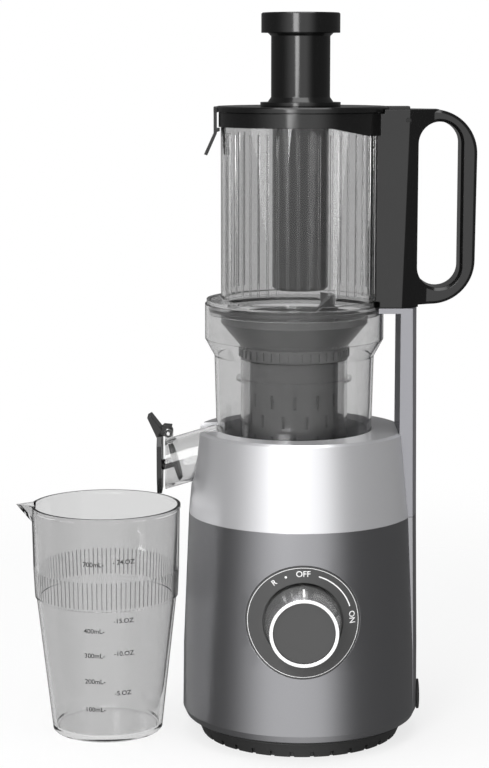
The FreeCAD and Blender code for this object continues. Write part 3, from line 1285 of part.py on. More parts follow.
def handle_magnet():
    """Magnet in the handle's foot that the tower's sensor feels."""
    return rod(MAGNET_R, HANDLE_POST_Z + TOUCH, HANDLE_POST_Z + TOUCH + MAGNET_T, MAGNET_X)


def lid_hinge_pin():
    """Pin of the lid across the handle post."""
    half = HANDLE_POST_HALF - 0.2
    return rod_along_y(HINGE_PIN_R, -half, half, HINGE_X, HINGE_Z)


def lid():
    """Black lid with its rim, pusher guide, hinge arm and the ears of the latch."""
    inner = HOPPER_R - HOPPER_WALL - RIB_PROUD - SLIDING
    bore = PUSHER_R + PUSHER_GAP
    disc = lathe([
        (0, LID_BOTTOM_Z), (inner - PLUG_RING_WALL, LID_BOTTOM_Z),
        (inner - PLUG_RING_WALL, LID_BOTTOM_Z - PLUG_RING_DEPTH),
        (inner, LID_BOTTOM_Z - PLUG_RING_DEPTH), (inner, LID_BOTTOM_Z), (LID_R, LID_BOTTOM_Z),
        (LID_R, LID_TOP_Z - LID_EDGE), (LID_R - LID_EDGE, LID_TOP_Z), (0, LID_TOP_Z),
    ])
    guide = rod(bore + GUIDE_WALL, LID_BOTTOM_Z - GUIDE_DEPTH, LID_TOP_Z - 1, PUSHER_X)
    arm = front_slab([
        (HOPPER_R - 6, LID_BOTTOM_Z), (HINGE_X - 6.5, LID_BOTTOM_Z), (HINGE_X - 3.4, HINGE_Z),
        (HINGE_X, HINGE_Z - 2),
        (HINGE_X + 3.4, HINGE_Z + 1), (HINGE_X + 2.0, LID_TOP_Z), (HOPPER_R - 6, LID_TOP_Z),
    ], -HINGE_ARM_HALF, HINGE_ARM_HALF)
    knuckle = rod_along_y(HINGE_KNUCKLE_R, -HINGE_ARM_HALF, HINGE_ARM_HALF, HINGE_X, HINGE_Z)
    slot_half = LATCH_HALF + SLIDING
    slot_end = LATCH_PIVOT_X + LATCH_KNUCKLE_R + 0.5
    tools = [
        rod(bore, LID_BOTTOM_Z - GUIDE_DEPTH - 1, LID_TOP_Z + 1, PUSHER_X),
        block((-LID_R - 10, slot_end), (-slot_half, slot_half), (LID_BOTTOM_Z - 2, LID_TOP_Z + 2)),
        rod_along_y(LATCH_PIN_R, -LATCH_HALF - 4, LATCH_HALF + 4, LATCH_PIVOT_X, LATCH_PIVOT_Z),
        rod_along_y(HINGE_PIN_R + RUNNING, -20, 20, HINGE_X, HINGE_Z),
    ]
    ears = []
    for side in (-1, 1):
        ear_y = sorted((side * slot_half, side * (slot_half + LATCH_EAR_T)))
        ear_x = (LATCH_PIVOT_X - LATCH_KNUCKLE_R, LATCH_PIVOT_X + 6)
        ears.append(block(ear_x, ear_y, (LID_BOTTOM_Z, LID_TOP_Z - 0.4)))
    return disc.fuse([guide, arm, knuckle] + ears).cut(tools)


def latch_pin():
    """Pin of the latch in the lid's ears."""
    half = LATCH_HALF + SLIDING + LATCH_EAR_T
    return rod_along_y(LATCH_PIN_R, -half, half, LATCH_PIVOT_X, LATCH_PIVOT_Z)


def latch():
    """Spring latch at the lid's edge: lever, hook under the collar and flared thumb tab."""
    outer_x = LATCH_PIVOT_X - LATCH_KNUCKLE_R
    inner_x = outer_x + LATCH_T
    hook_x = -HOPPER_R - LATCH_CLEARANCE
    lever = front_slab([
        (outer_x, LATCH_PIVOT_Z), (outer_x, LATCH_BEND_Z), (LATCH_TIP_X - 1.0, LATCH_TIP_Z),
        (LATCH_TIP_X + 1.2, LATCH_TIP_Z - 0.8),
        (inner_x - 0.1, LATCH_BEND_Z - 0.8), (inner_x - 0.1, LATCH_PIVOT_Z),
    ], -LATCH_HALF, LATCH_HALF)
    hook = front_slab([
        (outer_x + 1, LATCH_HOOK_Z - 0.8), (hook_x, LATCH_HOOK_Z), (hook_x, LATCH_HOOK_Z + LATCH_HOOK_H),
        (outer_x + 1, LATCH_HOOK_Z + LATCH_HOOK_H),
    ], -LATCH_HALF, LATCH_HALF)
    knuckle = rod_along_y(LATCH_KNUCKLE_R, -LATCH_HALF, LATCH_HALF, LATCH_PIVOT_X, LATCH_PIVOT_Z)
    pin_hole = rod_along_y(LATCH_PIN_R + RUNNING, -20, 20, LATCH_PIVOT_X, LATCH_PIVOT_Z)
    return knuckle.fuse([lever, hook]).cut(pin_hole)


def pusher():
    """Hollow pusher shaft with its flange on the lid and the neck under its cap."""
    flange_z = LID_TOP_Z + TOUCH
    neck_z = flange_z + PUSHER_FLANGE_T
    bore = PUSHER_R - PUSHER_WALL
    top = PUSHER_CAP_Z - TOUCH
    return lathe([
        (0, PUSHER_BOTTOM_Z), (PUSHER_R - 2, PUSHER_BOTTOM_Z), (PUSHER_R, PUSHER_BOTTOM_Z + 2),
        (PUSHER_R, flange_z),
        (PUSHER_FLANGE_R, flange_z), (PUSHER_FLANGE_R, neck_z), (PUSHER_SHOULDER_R, neck_z),
        (PUSHER_NECK_R, neck_z + 3.4),
        (PUSHER_NECK_R, top - 2.2), (PUSHER_NECK_R + 2.2, top), (bore, top),
        (bore, PUSHER_BOTTOM_Z + PUSHER_WALL),
        (0, PUSHER_BOTTOM_Z + PUSHER_WALL),
    ], PUSHER_X)


def pusher_cap():
    """Round cap that the palm pushes on, plugged into the pusher's neck."""
    spigot = PUSHER_R - PUSHER_WALL - TOUCH
    low = PUSHER_CAP_Z
    return lathe([
        (0, low - 6), (spigot, low - 6), (spigot, low), (PUSHER_CAP_R, low),
        (PUSHER_CAP_R, PUSHER_TOP_Z - PUSHER_EDGE),
        (PUSHER_CAP_R - PUSHER_EDGE, PUSHER_TOP_Z), (0, PUSHER_TOP_Z),
    ], PUSHER_X)


def juice_cup():
    """Clear measuring cup with its raised band and a pouring lip, under the spout."""
    below_r = CUP_BAND_R - CUP_STEP
    top_r = CUP_BAND_R + 1.0
    wall = CUP_WALL
    cup = lathe([
        (0, 0), (CUP_BASE_R - 1, 0), (CUP_BASE_R, 1), (below_r, CUP_BAND_BOTTOM_Z - 1),
        (CUP_BAND_R, CUP_BAND_BOTTOM_Z),
        (top_r, CUP_BAND_TOP_Z), (CUP_RIM_R - 0.5, CUP_HEIGHT - 3), (CUP_RIM_R, CUP_HEIGHT - 2),
        (CUP_RIM_R, CUP_HEIGHT),
        (CUP_RIM_R - wall, CUP_HEIGHT), (below_r - wall, CUP_BAND_BOTTOM_Z),
        (CUP_BASE_R - wall, CUP_FLOOR + 2),
        (CUP_BASE_R - wall - 2, CUP_FLOOR), (0, CUP_FLOOR),
    ], CUP_X)
    inner_lip = cup_lip(wall)
    core = lathe([
        (0, CUP_BAND_TOP_Z), (top_r - wall, CUP_BAND_TOP_Z), (CUP_RIM_R - wall, CUP_HEIGHT),
        (0, CUP_HEIGHT)
    ], CUP_X)
    return cup.cut(inner_lip).fuse(cup_lip(0).cut([inner_lip, core]))


def cup_lip(inset):
    """Solid of the pouring lip: a wedge that runs out to a point at the rim."""
    tip_x = CUP_X - CUP_RIM_R - CUP_LIP_OUT + inset * 1.8
    root_x = CUP_X - CUP_RIM_R + 8
    half = 15.0 - inset * 1.1
    top = CUP_HEIGHT + (1 if inset else 0)
    low = CUP_HEIGHT - CUP_LIP_DROP + inset * 2.2
    corners = [
        Vector(tip_x, 0, top), Vector(root_x, -half, top), Vector(root_x, half, top), Vector(root_x, 0, low),
    ]
    faces = []
    for picked in ((0, 1, 2), (0, 3, 1), (0, 2, 3), (1, 3, 2)):
        points = [corners[i] for i in picked]
        faces.append(Part.Face(Part.makePolygon(points + points[:1])))
    return Part.Solid(Part.Shell(faces))


PIECES = {
    "lower_housing": lower_housing,
    "upper_housing": upper_housing,
    "tower_housing": tower_housing,
    "tower_lower_cover": tower_lower_cover,
    "cord_gland": cord_gland,
    "base_plate": base_plate,
    "rubber_feet": rubber_feet,
    "dial_plate": dial_plate,
    "rotary_switch": rotary_switch,
    "control_board": control_board,
    "reed_sensor": reed_sensor,
    "gearbox_case": gearbox_case,
    "gearbox_cover": gearbox_cover,
    "motor_can": motor_can,
    "motor_rotor": motor_rotor,
    "motor_pinion": motor_pinion,
    "motor_fan": motor_fan,
    "countershaft": countershaft,
    "first_gear": first_gear,
    "second_pinion": second_pinion,
    "output_gear": output_gear,
    "drive_shaft": drive_shaft,
    "shaft_bush": shaft_bush,
    "shaft_seal": shaft_seal,
    "knob_trim": knob_trim,
    "knob_core": knob_core,
    "knob_shaft": knob_shaft,
    "bowl": bowl,
    "bowl_seal": bowl_seal,
    "spout_hinge_pin": spout_hinge_pin,
    "spout_cap": spout_cap,
    "spout_plug": spout_plug,
    "strainer": strainer,
    "strainer_sleeve": strainer_sleeve,
    "pulp_plug": pulp_plug,
    "auger": auger,
    "auger_socket": auger_socket,
    "hopper": hopper,
    "hopper_seal": hopper_seal,
    "hopper_collar": hopper_collar,
    "handle": handle,
    "handle_magnet": handle_magnet,
    "lid_hinge_pin": lid_hinge_pin,
    "lid": lid,
    "latch_pin": latch_pin,
    "latch": latch,
    "pusher": pusher,
    "pusher_cap": pusher_cap,
    "juice_cup": juice_cup,
}


def build():
    """Write each piece to its own STEP file."""
    os.makedirs("parts", exist_ok=True)
    for name, make in PIECES.items():
        shape = make()
        shape.exportStep("parts/" + name + ".step")
        print(name, len(shape.Solids), shape.isValid(), round(shape.Volume))


build()
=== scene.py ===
import math

import bpy
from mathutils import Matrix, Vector


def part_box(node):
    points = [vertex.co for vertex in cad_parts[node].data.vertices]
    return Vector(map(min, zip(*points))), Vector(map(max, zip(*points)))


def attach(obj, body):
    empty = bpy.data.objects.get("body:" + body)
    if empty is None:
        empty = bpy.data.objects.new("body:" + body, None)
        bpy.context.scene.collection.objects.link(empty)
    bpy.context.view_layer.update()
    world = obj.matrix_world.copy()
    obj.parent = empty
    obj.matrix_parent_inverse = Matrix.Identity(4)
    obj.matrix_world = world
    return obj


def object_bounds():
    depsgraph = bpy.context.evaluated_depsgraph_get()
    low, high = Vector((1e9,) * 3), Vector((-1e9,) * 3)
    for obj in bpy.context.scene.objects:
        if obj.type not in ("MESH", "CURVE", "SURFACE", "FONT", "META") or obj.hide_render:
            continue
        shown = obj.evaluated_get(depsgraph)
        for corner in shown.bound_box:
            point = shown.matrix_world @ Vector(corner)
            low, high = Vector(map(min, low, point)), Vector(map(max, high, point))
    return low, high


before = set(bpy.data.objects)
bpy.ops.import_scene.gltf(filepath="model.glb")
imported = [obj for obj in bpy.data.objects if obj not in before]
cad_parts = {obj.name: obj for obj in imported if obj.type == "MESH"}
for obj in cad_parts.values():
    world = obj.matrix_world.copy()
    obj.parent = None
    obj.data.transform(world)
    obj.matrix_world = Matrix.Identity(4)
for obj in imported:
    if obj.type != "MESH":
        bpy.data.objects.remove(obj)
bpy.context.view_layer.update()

MM = 0.001

# Camera and picture
PICTURE_HEIGHT_PX = 768
FOCAL_PX = 2113
SENSOR = 36.0
CAMERA_AT = (-39.3 * MM, -1457.5 * MM, 468.0 * MM)
CAMERA_DOWN = 8.614

# Places that the part's own source sets
CUP_X = -136.9 * MM
DIAL_Z = 97.5 * MM
PLATE_OVER_RING = 4.0 * MM

# Prints start flat in front of everything and are laid back onto a wall
PRINT_START_Y = -0.2
INK_T = 0.06 * MM
LETTER_WEIGHT = 0.012

# Dial print: radii from the dial's centre, angles in degrees clockwise from the top
DIAL_PRINT_R = 33.0 * MM
DIAL_WORDS = (
    ("dial_off", "OFF", 5.6 * MM, 0),
    ("dial_on", "ON", 5.4 * MM, 86),
    ("dial_reverse", "R", 5.2 * MM, -36),
)
EDGE_LINE_R = 37.3 * MM
EDGE_LINE_W = 0.35 * MM
SPEED_ARC_W = 0.8 * MM
SPEED_ARC_SPAN = (18.4, 72.6)
DOT_R = 0.8 * MM
DOT_ANGLE = -20.7

# Cup print: the marks' heights are in millimetres above the worktop
MILLILITRE_X = -135.3 * MM
MILLILITRE_SIZE = 4.7 * MM
MILLILITRE_MARKS = (("700mL-", 130.0), ("400mL-", 82.3), ("300mL-", 64.3), ("200mL-", 45.3), ("100mL-", 24.6))
OUNCE_X = -129.2 * MM
OUNCE_SIZE = 4.5 * MM
OUNCE_MARKS = (("- 24.OZ", 131.6), ("-15.OZ", 89.6), ("-10.OZ", 65.7), ("-5.OZ", 36.6))

# Lines round the cup's band
CUP_BAND_Z = (98.2 * MM, 117.0 * MM)
CUP_BAND_START_R = 52.0 * MM
CUP_LINE_W = 0.55 * MM
CUP_LINE_COUNT = 96
MERGE_WITHIN = 0.01 * MM

# Pointer along the top of the knob's skirt
KNOB_SLOPE = 11.0
POINTER_W = 1.5 * MM
POINTER_L = 11.0 * MM
POINTER_T = 1.1 * MM
POINTER_BACK = 3.0 * MM
POINTER_DOWN = 1.6 * MM
POINTER_EDGE = 0.25 * MM

# Screw heads under the base plate
SCREW_COUNT = 4
SCREW_CIRCLE_R = 48.0 * MM
SCREW_R = 3.0 * MM
SCREW_HEAD_T = 1.0 * MM
SCREW_EDGE = 0.2 * MM

# Studio: what glossy surfaces see at the sides and in front, and the even light for the rest
SIDE_GLOW = 0.13
FRONT_GLOW = 1.25
EVEN_GLOW = 0.62
FRONT_FADE = (-0.05, -0.55)
LEFT_FADE = (-1.05, -0.45)
RIGHT_FADE = (0.80, 0.25)
FLOOR_R = 1.1
FLOOR_FADE = (0.30, 0.95)
FLOOR_SHADE = 0.80
FLOOR_GLOW = 0.72
FLOOR_GAP = 0.2 * MM
SOFTBOXES = (
    ("key_box", (-0.55, -1.5, 0.95), (0, 0, 0.25), 0.45, 1.3, 16, True),
    ("fill_box", (1.25, -0.55, 0.5), (0, 0, 0.25), 0.25, 1.3, 6, False),
    ("side_box", (-1.3, -0.35, 0.5), (0, 0, 0.25), 0.25, 1.3, 6, False),
    ("top_box", (0, -0.2, 1.7), (0, 0, 0.2), 0.9, 0.9, 8, True),
)


class Value:
    """A socket's output with operators, so that shader maths reads as an expression."""

    def __init__(self, finish, socket):
        self.finish = finish
        self.socket = socket

    def math(self, operation, first, second):
        return self.finish.node("ShaderNodeMath", {"operation": operation}, {0: first, 1: second})["Value"]

    def __add__(self, other):
        return self.math("ADD", self, other)

    def __radd__(self, other):
        return self.math("ADD", other, self)

    def __rsub__(self, other):
        return self.math("SUBTRACT", other, self)

    def __mul__(self, other):
        return self.math("MULTIPLY", self, other)

    def or_more(self, other):
        """The larger of the two values."""
        return self.math("MAXIMUM", self, other)


class Outputs:
    """A node whose outputs are picked by name."""

    def __init__(self, finish, node):
        self.finish = finish
        self.made = node

    def __getitem__(self, name):
        return Value(self.finish, self.made.outputs[name])


class Finish:
    """A material under construction: nodes are added by type, settings and socket values."""

    def __init__(self, name, tree=None):
        if tree is None:
            self.material = bpy.data.materials.new(name)
            self.material.use_nodes = True
            tree = self.material.node_tree
        self.tree = tree
        self.tree.nodes.clear()

    def node(self, kind, settings=None, inputs=None):
        made = self.tree.nodes.new(kind)
        for name, value in (settings or {}).items():
            setattr(made, name, value)
        for name, value in (inputs or {}).items():
            if isinstance(value, Value):
                self.tree.links.new(value.socket, made.inputs[name])
            else:
                made.inputs[name].default_value = value
        return Outputs(self, made)

    def place(self):
        return self.node("ShaderNodeTexCoord")["Object"]

    def noise(self, scale, detail, stretch=(1, 1, 1)):
        mapped = self.node("ShaderNodeMapping", None, {"Vector": self.place(), "Scale": stretch})["Vector"]
        inputs = {"Vector": mapped, "Scale": scale, "Detail": detail}
        return self.node("ShaderNodeTexNoise", None, inputs)["Fac"]

    def spread(self, value, middle, drift):
        """Value from nought to one laid out evenly round a middle."""
        inputs = {"Value": value, "To Min": middle - drift, "To Max": middle + drift}
        return self.node("ShaderNodeMapRange", None, inputs)["Result"]

    def blend(self, share, first, second):
        """Mix of two colours, whose sockets on this node have no names of their own."""
        mixed = self.node("ShaderNodeMix", {"data_type": "RGBA"}, {"Factor": share})
        for index, colour in ((6, first), (7, second)):
            if isinstance(colour, Value):
                self.tree.links.new(colour.socket, mixed.made.inputs[index])
            else:
                mixed.made.inputs[index].default_value = colour
        return Value(self, mixed.made.outputs[2])

    def ramp(self, value, start, end):
        """Smooth step from nought at start to one at end, whichever way they lie."""
        low, high = min(start, end), max(start, end)
        inputs = {"Value": value, "From Min": low, "From Max": high}
        inputs["To Min"], inputs["To Max"] = (0.0, 1.0) if start < end else (1.0, 0.0)
        return self.node("ShaderNodeMapRange", {"interpolation_type": "SMOOTHSTEP"}, inputs)["Result"]

    def rounded(self, radius):
        return self.node("ShaderNodeBevel", {"samples": 4}, {"Radius": radius})["Normal"]

    def bump(self, height, distance, strength, normal):
        inputs = {"Height": height, "Distance": distance, "Strength": strength, "Normal": normal}
        return self.node("ShaderNodeBump", None, inputs)["Normal"]

    def choose(self, share, first, second):
        """Mix of two shaders."""
        return self.node("ShaderNodeMixShader", None, {0: share, 1: first, 2: second})["Shader"]

    def surface(self, shader):
        out = self.tree.nodes.new("ShaderNodeOutputMaterial")
        self.tree.links.new(shader.socket, out.inputs["Surface"])
        return self.material


def grey(level, tint=(1.0, 1.0, 1.0)):
    return (level * tint[0], level * tint[1], level * tint[2], 1.0)


def painted_shell(name, low, high, roughness, metallic):
    """Satin metallic paint: fine flake in the colour and a faint orange-peel surface."""
    finish = Finish(name)
    flake = finish.noise(scale=2600.0, detail=2.0)
    cloud = finish.noise(scale=9.0, detail=2.0)
    peel = finish.noise(scale=420.0, detail=1.0)
    shader = finish.node("ShaderNodeBsdfPrincipled", None, {
        "Base Color": finish.blend(flake * 0.8 + cloud * 0.2, low, high),
        "Metallic": metallic,
        "Roughness": finish.spread(cloud, roughness, drift=0.03),
        "Coat Weight": 0.15,
        "Coat Roughness": 0.18,
        "Normal": finish.bump(peel, distance=0.02 * MM, strength=0.25, normal=finish.rounded(0.5 * MM)),
    })["BSDF"]
    return finish.surface(shader)


def moulded(name, low, high, roughness, grain_scale, grain_depth, edge=0.5 * MM):
    """Moulded plastic or rubber: slight colour drift, uneven gloss and a fine surface grain."""
    finish = Finish(name)
    cloud = finish.noise(scale=14.0, detail=3.0)
    grain = finish.noise(grain_scale, detail=2.0)
    shader = finish.node("ShaderNodeBsdfPrincipled", None, {
        "Base Color": finish.blend(cloud, low, high),
        "Roughness": finish.spread(cloud * 0.6 + grain * 0.4, roughness, drift=0.05),
        "Normal": finish.bump(grain, grain_depth, strength=0.3, normal=finish.rounded(edge)),
    })["BSDF"]
    return finish.surface(shader)


def bare_metal(name, low, high, roughness, stretch=(1, 1, 1)):
    """Machined or drawn metal, with fine lines along the direction that is stretched."""
    finish = Finish(name)
    lines = finish.noise(scale=300.0, detail=3.0, stretch=stretch)
    shader = finish.node("ShaderNodeBsdfPrincipled", None, {
        "Base Color": finish.blend(lines, low, high),
        "Metallic": 1.0,
        "Roughness": finish.spread(lines, roughness, drift=0.06),
        "Normal": finish.bump(lines, distance=0.01 * MM, strength=0.2, normal=finish.rounded(0.3 * MM)),
    })["BSDF"]
    return finish.surface(shader)


def clear_plastic(name, level):
    """Clear moulded plastic that lets light through to what is inside and behind."""
    finish = Finish(name)
    wave = finish.noise(scale=24.0, detail=2.0)
    cloud = finish.noise(scale=60.0, detail=2.0)
    solid = finish.node("ShaderNodeBsdfPrincipled", None, {
        "Base Color": finish.blend(cloud, grey(level), grey(level * 0.985)),
        "Transmission Weight": 1.0,
        "IOR": 1.42,
        "Roughness": finish.spread(cloud, 0.025, drift=0.01),
        "Normal": finish.bump(wave, distance=0.05 * MM, strength=0.15, normal=finish.rounded(0.4 * MM)),
    })["BSDF"]
    passing = finish.node("ShaderNodeBsdfTransparent", None, {"Color": grey(0.86)})["BSDF"]
    shadow = finish.node("ShaderNodeLightPath")["Is Shadow Ray"]
    return finish.surface(finish.choose(shadow, solid, passing))


def print_ink(name, level):
    """Screen-printed ink with slightly uneven cover."""
    finish = Finish(name)
    cover = finish.noise(scale=900.0, detail=2.0)
    shader = finish.node("ShaderNodeBsdfPrincipled", None, {
        "Base Color": finish.blend(cover, grey(level), grey(level * 0.93)),
        "Roughness": finish.spread(cover, 0.56, drift=0.06),
    })["BSDF"]
    return finish.surface(shader)


def dress(material, *nodes):
    """Give carried-over CAD nodes a material."""
    for name in nodes:
        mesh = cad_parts[name].data
        mesh.materials.clear()
        mesh.materials.append(material)


SILVER = painted_shell(
    "silver_satin_paint", grey(0.66, (1.0, 1.0, 1.03)), grey(0.74, (1.0, 1.0, 1.02)),
    roughness=0.30, metallic=0.72,
)
# Painted shade: the tower wears the same silver paint as the upper housing, and this darker copy of it paints
# in the shade on the tower's side
TOWER_SILVER_PAINTED_SHADE = painted_shell(
    "tower_silver_painted_shade", grey(0.24, (1.0, 1.0, 1.08)), grey(0.28, (1.0, 1.0, 1.06)),
    roughness=0.34, metallic=0.72,
)
GRAPHITE = painted_shell(
    "graphite_satin_paint", grey(0.25, (1.0, 1.0, 1.05)), grey(0.30, (1.0, 1.0, 1.03)),
    roughness=0.30, metallic=0.95,
)
GLOSS_BLACK = moulded("gloss_black_plastic", grey(0.004), grey(0.006), 0.14, 300.0, 0.01 * MM, 0.7 * MM)
MATT_BLACK = moulded("matt_black_plastic", grey(0.010), grey(0.014), 0.5, 1500.0, 0.03 * MM)
DIAL_GREY = moulded("dial_matt_grey", grey(0.048), grey(0.056), 0.6, 1800.0, 0.02 * MM, 0.3 * MM)
KNOB_GREY = moulded("knob_face_grey", grey(0.045), grey(0.052), 0.5, 1800.0, 0.02 * MM)
FOOD_GREY = moulded("food_grade_grey_plastic", grey(0.062), grey(0.072), 0.36, 500.0, 0.01 * MM)
BLACK_RUBBER = moulded("black_rubber", grey(0.012), grey(0.018), 0.7, 700.0, 0.05 * MM, 0.6 * MM)
SEAL_RUBBER = moulded("dark_silicone", grey(0.030), grey(0.040), 0.55, 500.0, 0.02 * MM, 0.3 * MM)
RIB_GREY = moulded("cup_rib_grey", grey(0.10), grey(0.13), 0.3, 600.0, 0.01 * MM, 0.1 * MM)
CHROME = bare_metal("bright_chrome", grey(0.86), grey(0.92), 0.24)
STEEL = bare_metal("ground_steel", grey(0.52), grey(0.62), 0.28, stretch=(1, 1, 0.05))
BLACK_STEEL = bare_metal("blackened_steel", grey(0.025), grey(0.035), 0.4)
CAST_ALLOY = bare_metal("cast_alloy", grey(0.42), grey(0.52), 0.5)
WARM = (1.0, 0.97, 0.88)
NYLON = moulded("natural_nylon", grey(0.60, WARM), grey(0.68, WARM), 0.4, 600.0, 0.02 * MM)
BOARD_LOW = (0.010, 0.085, 0.040, 1.0)
BOARD_HIGH = (0.015, 0.11, 0.05, 1.0)
BOARD_GREEN = moulded("board_green", BOARD_LOW, BOARD_HIGH, 0.4, 900.0, 0.02 * MM, 0.2 * MM)
CLEAR = clear_plastic("clear_plastic", 0.72)
HOPPER_CLEAR = clear_plastic("hopper_clear_plastic", 0.62)
CUP_CLEAR = clear_plastic("cup_clear_plastic", 0.70)
WHITE_INK = print_ink("white_ink", 0.85)
BLACK_INK = print_ink("black_ink", 0.015)

dress(GRAPHITE, "lower_housing", "tower_lower_cover")
dress(SILVER, "upper_housing")
dress(TOWER_SILVER_PAINTED_SHADE, "tower_housing")
dress(MATT_BLACK, "base_plate", "rotary_switch", "motor_fan", "reed_sensor")
dress(BLACK_RUBBER, "cord_gland", "rubber_feet")
dress(DIAL_GREY, "dial_plate")
dress(KNOB_GREY, "knob_core")
dress(CHROME, "knob_trim")
dress(GLOSS_BLACK, "handle", "lid", "latch", "pusher", "pusher_cap", "hopper_collar", "spout_cap")
dress(FOOD_GREY, "strainer", "auger")
dress(SEAL_RUBBER, "shaft_seal", "bowl_seal", "spout_plug", "pulp_plug", "hopper_seal")
dress(STEEL, "motor_can", "motor_rotor", "motor_pinion", "countershaft", "second_pinion", "drive_shaft")
dress(STEEL, "knob_shaft", "spout_hinge_pin", "auger_socket", "handle_magnet")
dress(BLACK_STEEL, "lid_hinge_pin", "latch_pin")
dress(CAST_ALLOY, "gearbox_case", "gearbox_cover")
dress(NYLON, "first_gear", "output_gear", "shaft_bush")
dress(BOARD_GREEN, "control_board")
dress(CLEAR, "bowl", "strainer_sleeve")
dress(HOPPER_CLEAR, "hopper")
dress(CUP_CLEAR, "juice_cup")


def pick(piece=None):
    """Select one piece, or nothing, so that the next operator touches only that or what it makes."""
    bpy.ops.object.select_all(action="DESELECT")
    if piece is not None:
        piece.select_set(True)
        bpy.context.view_layer.objects.active = piece


def settle(rotation, location):
    """Turn and place the piece just made, and write that into its mesh, so that it sits at the origin."""
    piece = bpy.context.object
    piece.rotation_euler = rotation
    piece.location = location
    pick(piece)
    bpy.ops.object.transform_apply(location=True, rotation=True, scale=True)
    return piece


def edit_all():
    """Open the active piece's mesh with all of it selected."""
    bpy.ops.object.mode_set(mode="EDIT")
    bpy.ops.mesh.select_all(action="SELECT")


def ease_edges(width):
    """Small round on every edge of the active piece."""
    edit_all()
    bpy.ops.mesh.bevel(offset=width, segments=2)
    bpy.ops.object.mode_set(mode="OBJECT")


def own(piece, name, material, body):
    """Name a finished piece, give it its finish and let it ride on its body."""
    piece.name = name
    piece.data.name = name
    piece.data.materials.clear()
    piece.data.materials.append(material)
    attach(piece, body)


def lay_on(piece, node, method="PROJECT"):
    """Wrap a flat piece onto a CAD node's surface and give it an ink film's thickness."""
    wrap = piece.modifiers.new("wrap", "SHRINKWRAP")
    wrap.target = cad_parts[node]
    wrap.wrap_method = method
    wrap.wrap_mode = "ABOVE_SURFACE"
    wrap.offset = INK_T
    if method == "PROJECT":
        wrap.use_project_y = True
        wrap.use_positive_direction = True
    film = piece.modifiers.new("film", "SOLIDIFY")
    film.thickness = INK_T
    film.offset = 0
    pick(piece)
    bpy.ops.object.modifier_apply(modifier="wrap")
    bpy.ops.object.modifier_apply(modifier="film")


def on_dial(angle):
    """Point of the dial's print circle at an angle, in front of the dial."""
    turn = math.radians(angle)
    return (DIAL_PRINT_R * math.sin(turn), PRINT_START_Y, DIAL_Z + DIAL_PRINT_R * math.cos(turn))


def lettering(name, words, size, at, roll, side, node, material, body):
    """Words on a CAD node's front, centred or set from one side, turned by a roll in degrees."""
    pick()
    bpy.ops.object.text_add()
    text = bpy.context.object.data
    text.body = words
    text.size = size
    text.align_x = side
    text.align_y = "CENTER"
    text.offset = size * LETTER_WEIGHT
    bpy.ops.object.convert(target="MESH")
    piece = settle((math.radians(90), math.radians(roll), 0), at)
    lay_on(piece, node)
    own(piece, name, material, body)


def ring_print(name, radius, width, span=()):
    """White line round the dial, whole or between two angles."""
    pick()
    bpy.ops.mesh.primitive_circle_add(vertices=180, radius=radius + width / 2, fill_type="NGON")
    edit_all()
    bpy.ops.mesh.inset(thickness=width)
    bpy.ops.mesh.delete(type="FACE")
    for angle, turn in zip(span, (-90, 90)):
        bpy.ops.mesh.select_all(action="SELECT")
        across = math.radians(90 - angle + turn)
        normal = (math.cos(across), math.sin(across), 0)
        bpy.ops.mesh.bisect(plane_co=(0, 0, 0), plane_no=normal, clear_inner=True)
    bpy.ops.object.mode_set(mode="OBJECT")
    piece = settle((math.radians(90), 0, 0), (0, PRINT_START_Y, DIAL_Z))
    lay_on(piece, "dial_plate")
    own(piece, name, WHITE_INK, "base")


def dial_print():
    """The dial's words, lines and dot round the knob."""
    for name, words, size, angle in DIAL_WORDS:
        at = on_dial(angle)
        lettering(name, words, size, at, angle, "CENTER", "dial_plate", WHITE_INK, "base")
    ring_print("dial_edge_line", EDGE_LINE_R, EDGE_LINE_W)
    ring_print("dial_speed_arc", DIAL_PRINT_R, SPEED_ARC_W, SPEED_ARC_SPAN)
    pick()
    bpy.ops.mesh.primitive_circle_add(vertices=24, radius=DOT_R, fill_type="NGON")
    piece = settle((math.radians(90), 0, 0), on_dial(DOT_ANGLE))
    lay_on(piece, "dial_plate")
    own(piece, "dial_dot", WHITE_INK, "base")


def cup_print():
    """Millilitre and ounce marks on the front of the cup."""
    for marks, x, size, side in (
        (MILLILITRE_MARKS, MILLILITRE_X, MILLILITRE_SIZE, "RIGHT"),
        (OUNCE_MARKS, OUNCE_X, OUNCE_SIZE, "LEFT"),
    ):
        for words, height in marks:
            name = "cup_mark_" + words.strip("- ").replace(".", "_").lower()
            at = (x, PRINT_START_Y, height * MM)
            lettering(name, words, size, at, 0, side, "juice_cup", BLACK_INK, "cup")


def cup_ribs():
    """Fine upright lines moulded round the cup's band."""
    pick()
    low, high = CUP_BAND_Z
    bpy.ops.mesh.primitive_grid_add(x_subdivisions=1, y_subdivisions=4, size=1)
    bpy.context.object.scale = (CUP_LINE_W, high - low, 1)
    piece = settle((math.radians(90), 0, 0), (CUP_X, -CUP_BAND_START_R, (low + high) / 2))
    edit_all()
    middle = (CUP_X, 0, 0)
    bpy.ops.mesh.spin(steps=CUP_LINE_COUNT, dupli=True, angle=2 * math.pi, center=middle, axis=(0, 0, 1))
    bpy.ops.mesh.select_all(action="SELECT")
    bpy.ops.mesh.remove_doubles(threshold=MERGE_WITHIN)
    bpy.ops.object.mode_set(mode="OBJECT")
    lay_on(piece, "juice_cup", "NEAREST_SURFACEPOINT")
    own(piece, "cup_band_ribs", RIB_GREY, "cup")


def knob_pointer():
    """Raised bar along the knob's side that points at the dial's words."""
    pick()
    low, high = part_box("knob_trim")
    bpy.ops.mesh.primitive_cube_add(size=1)
    bpy.context.object.scale = (POINTER_W, POINTER_L, POINTER_T)
    at = (0, low[1] + POINTER_L / 2 + POINTER_BACK, high[2] - POINTER_DOWN)
    piece = settle((math.radians(KNOB_SLOPE), 0, 0), at)
    ease_edges(POINTER_EDGE)
    own(piece, "knob_pointer", WHITE_INK, "knob")


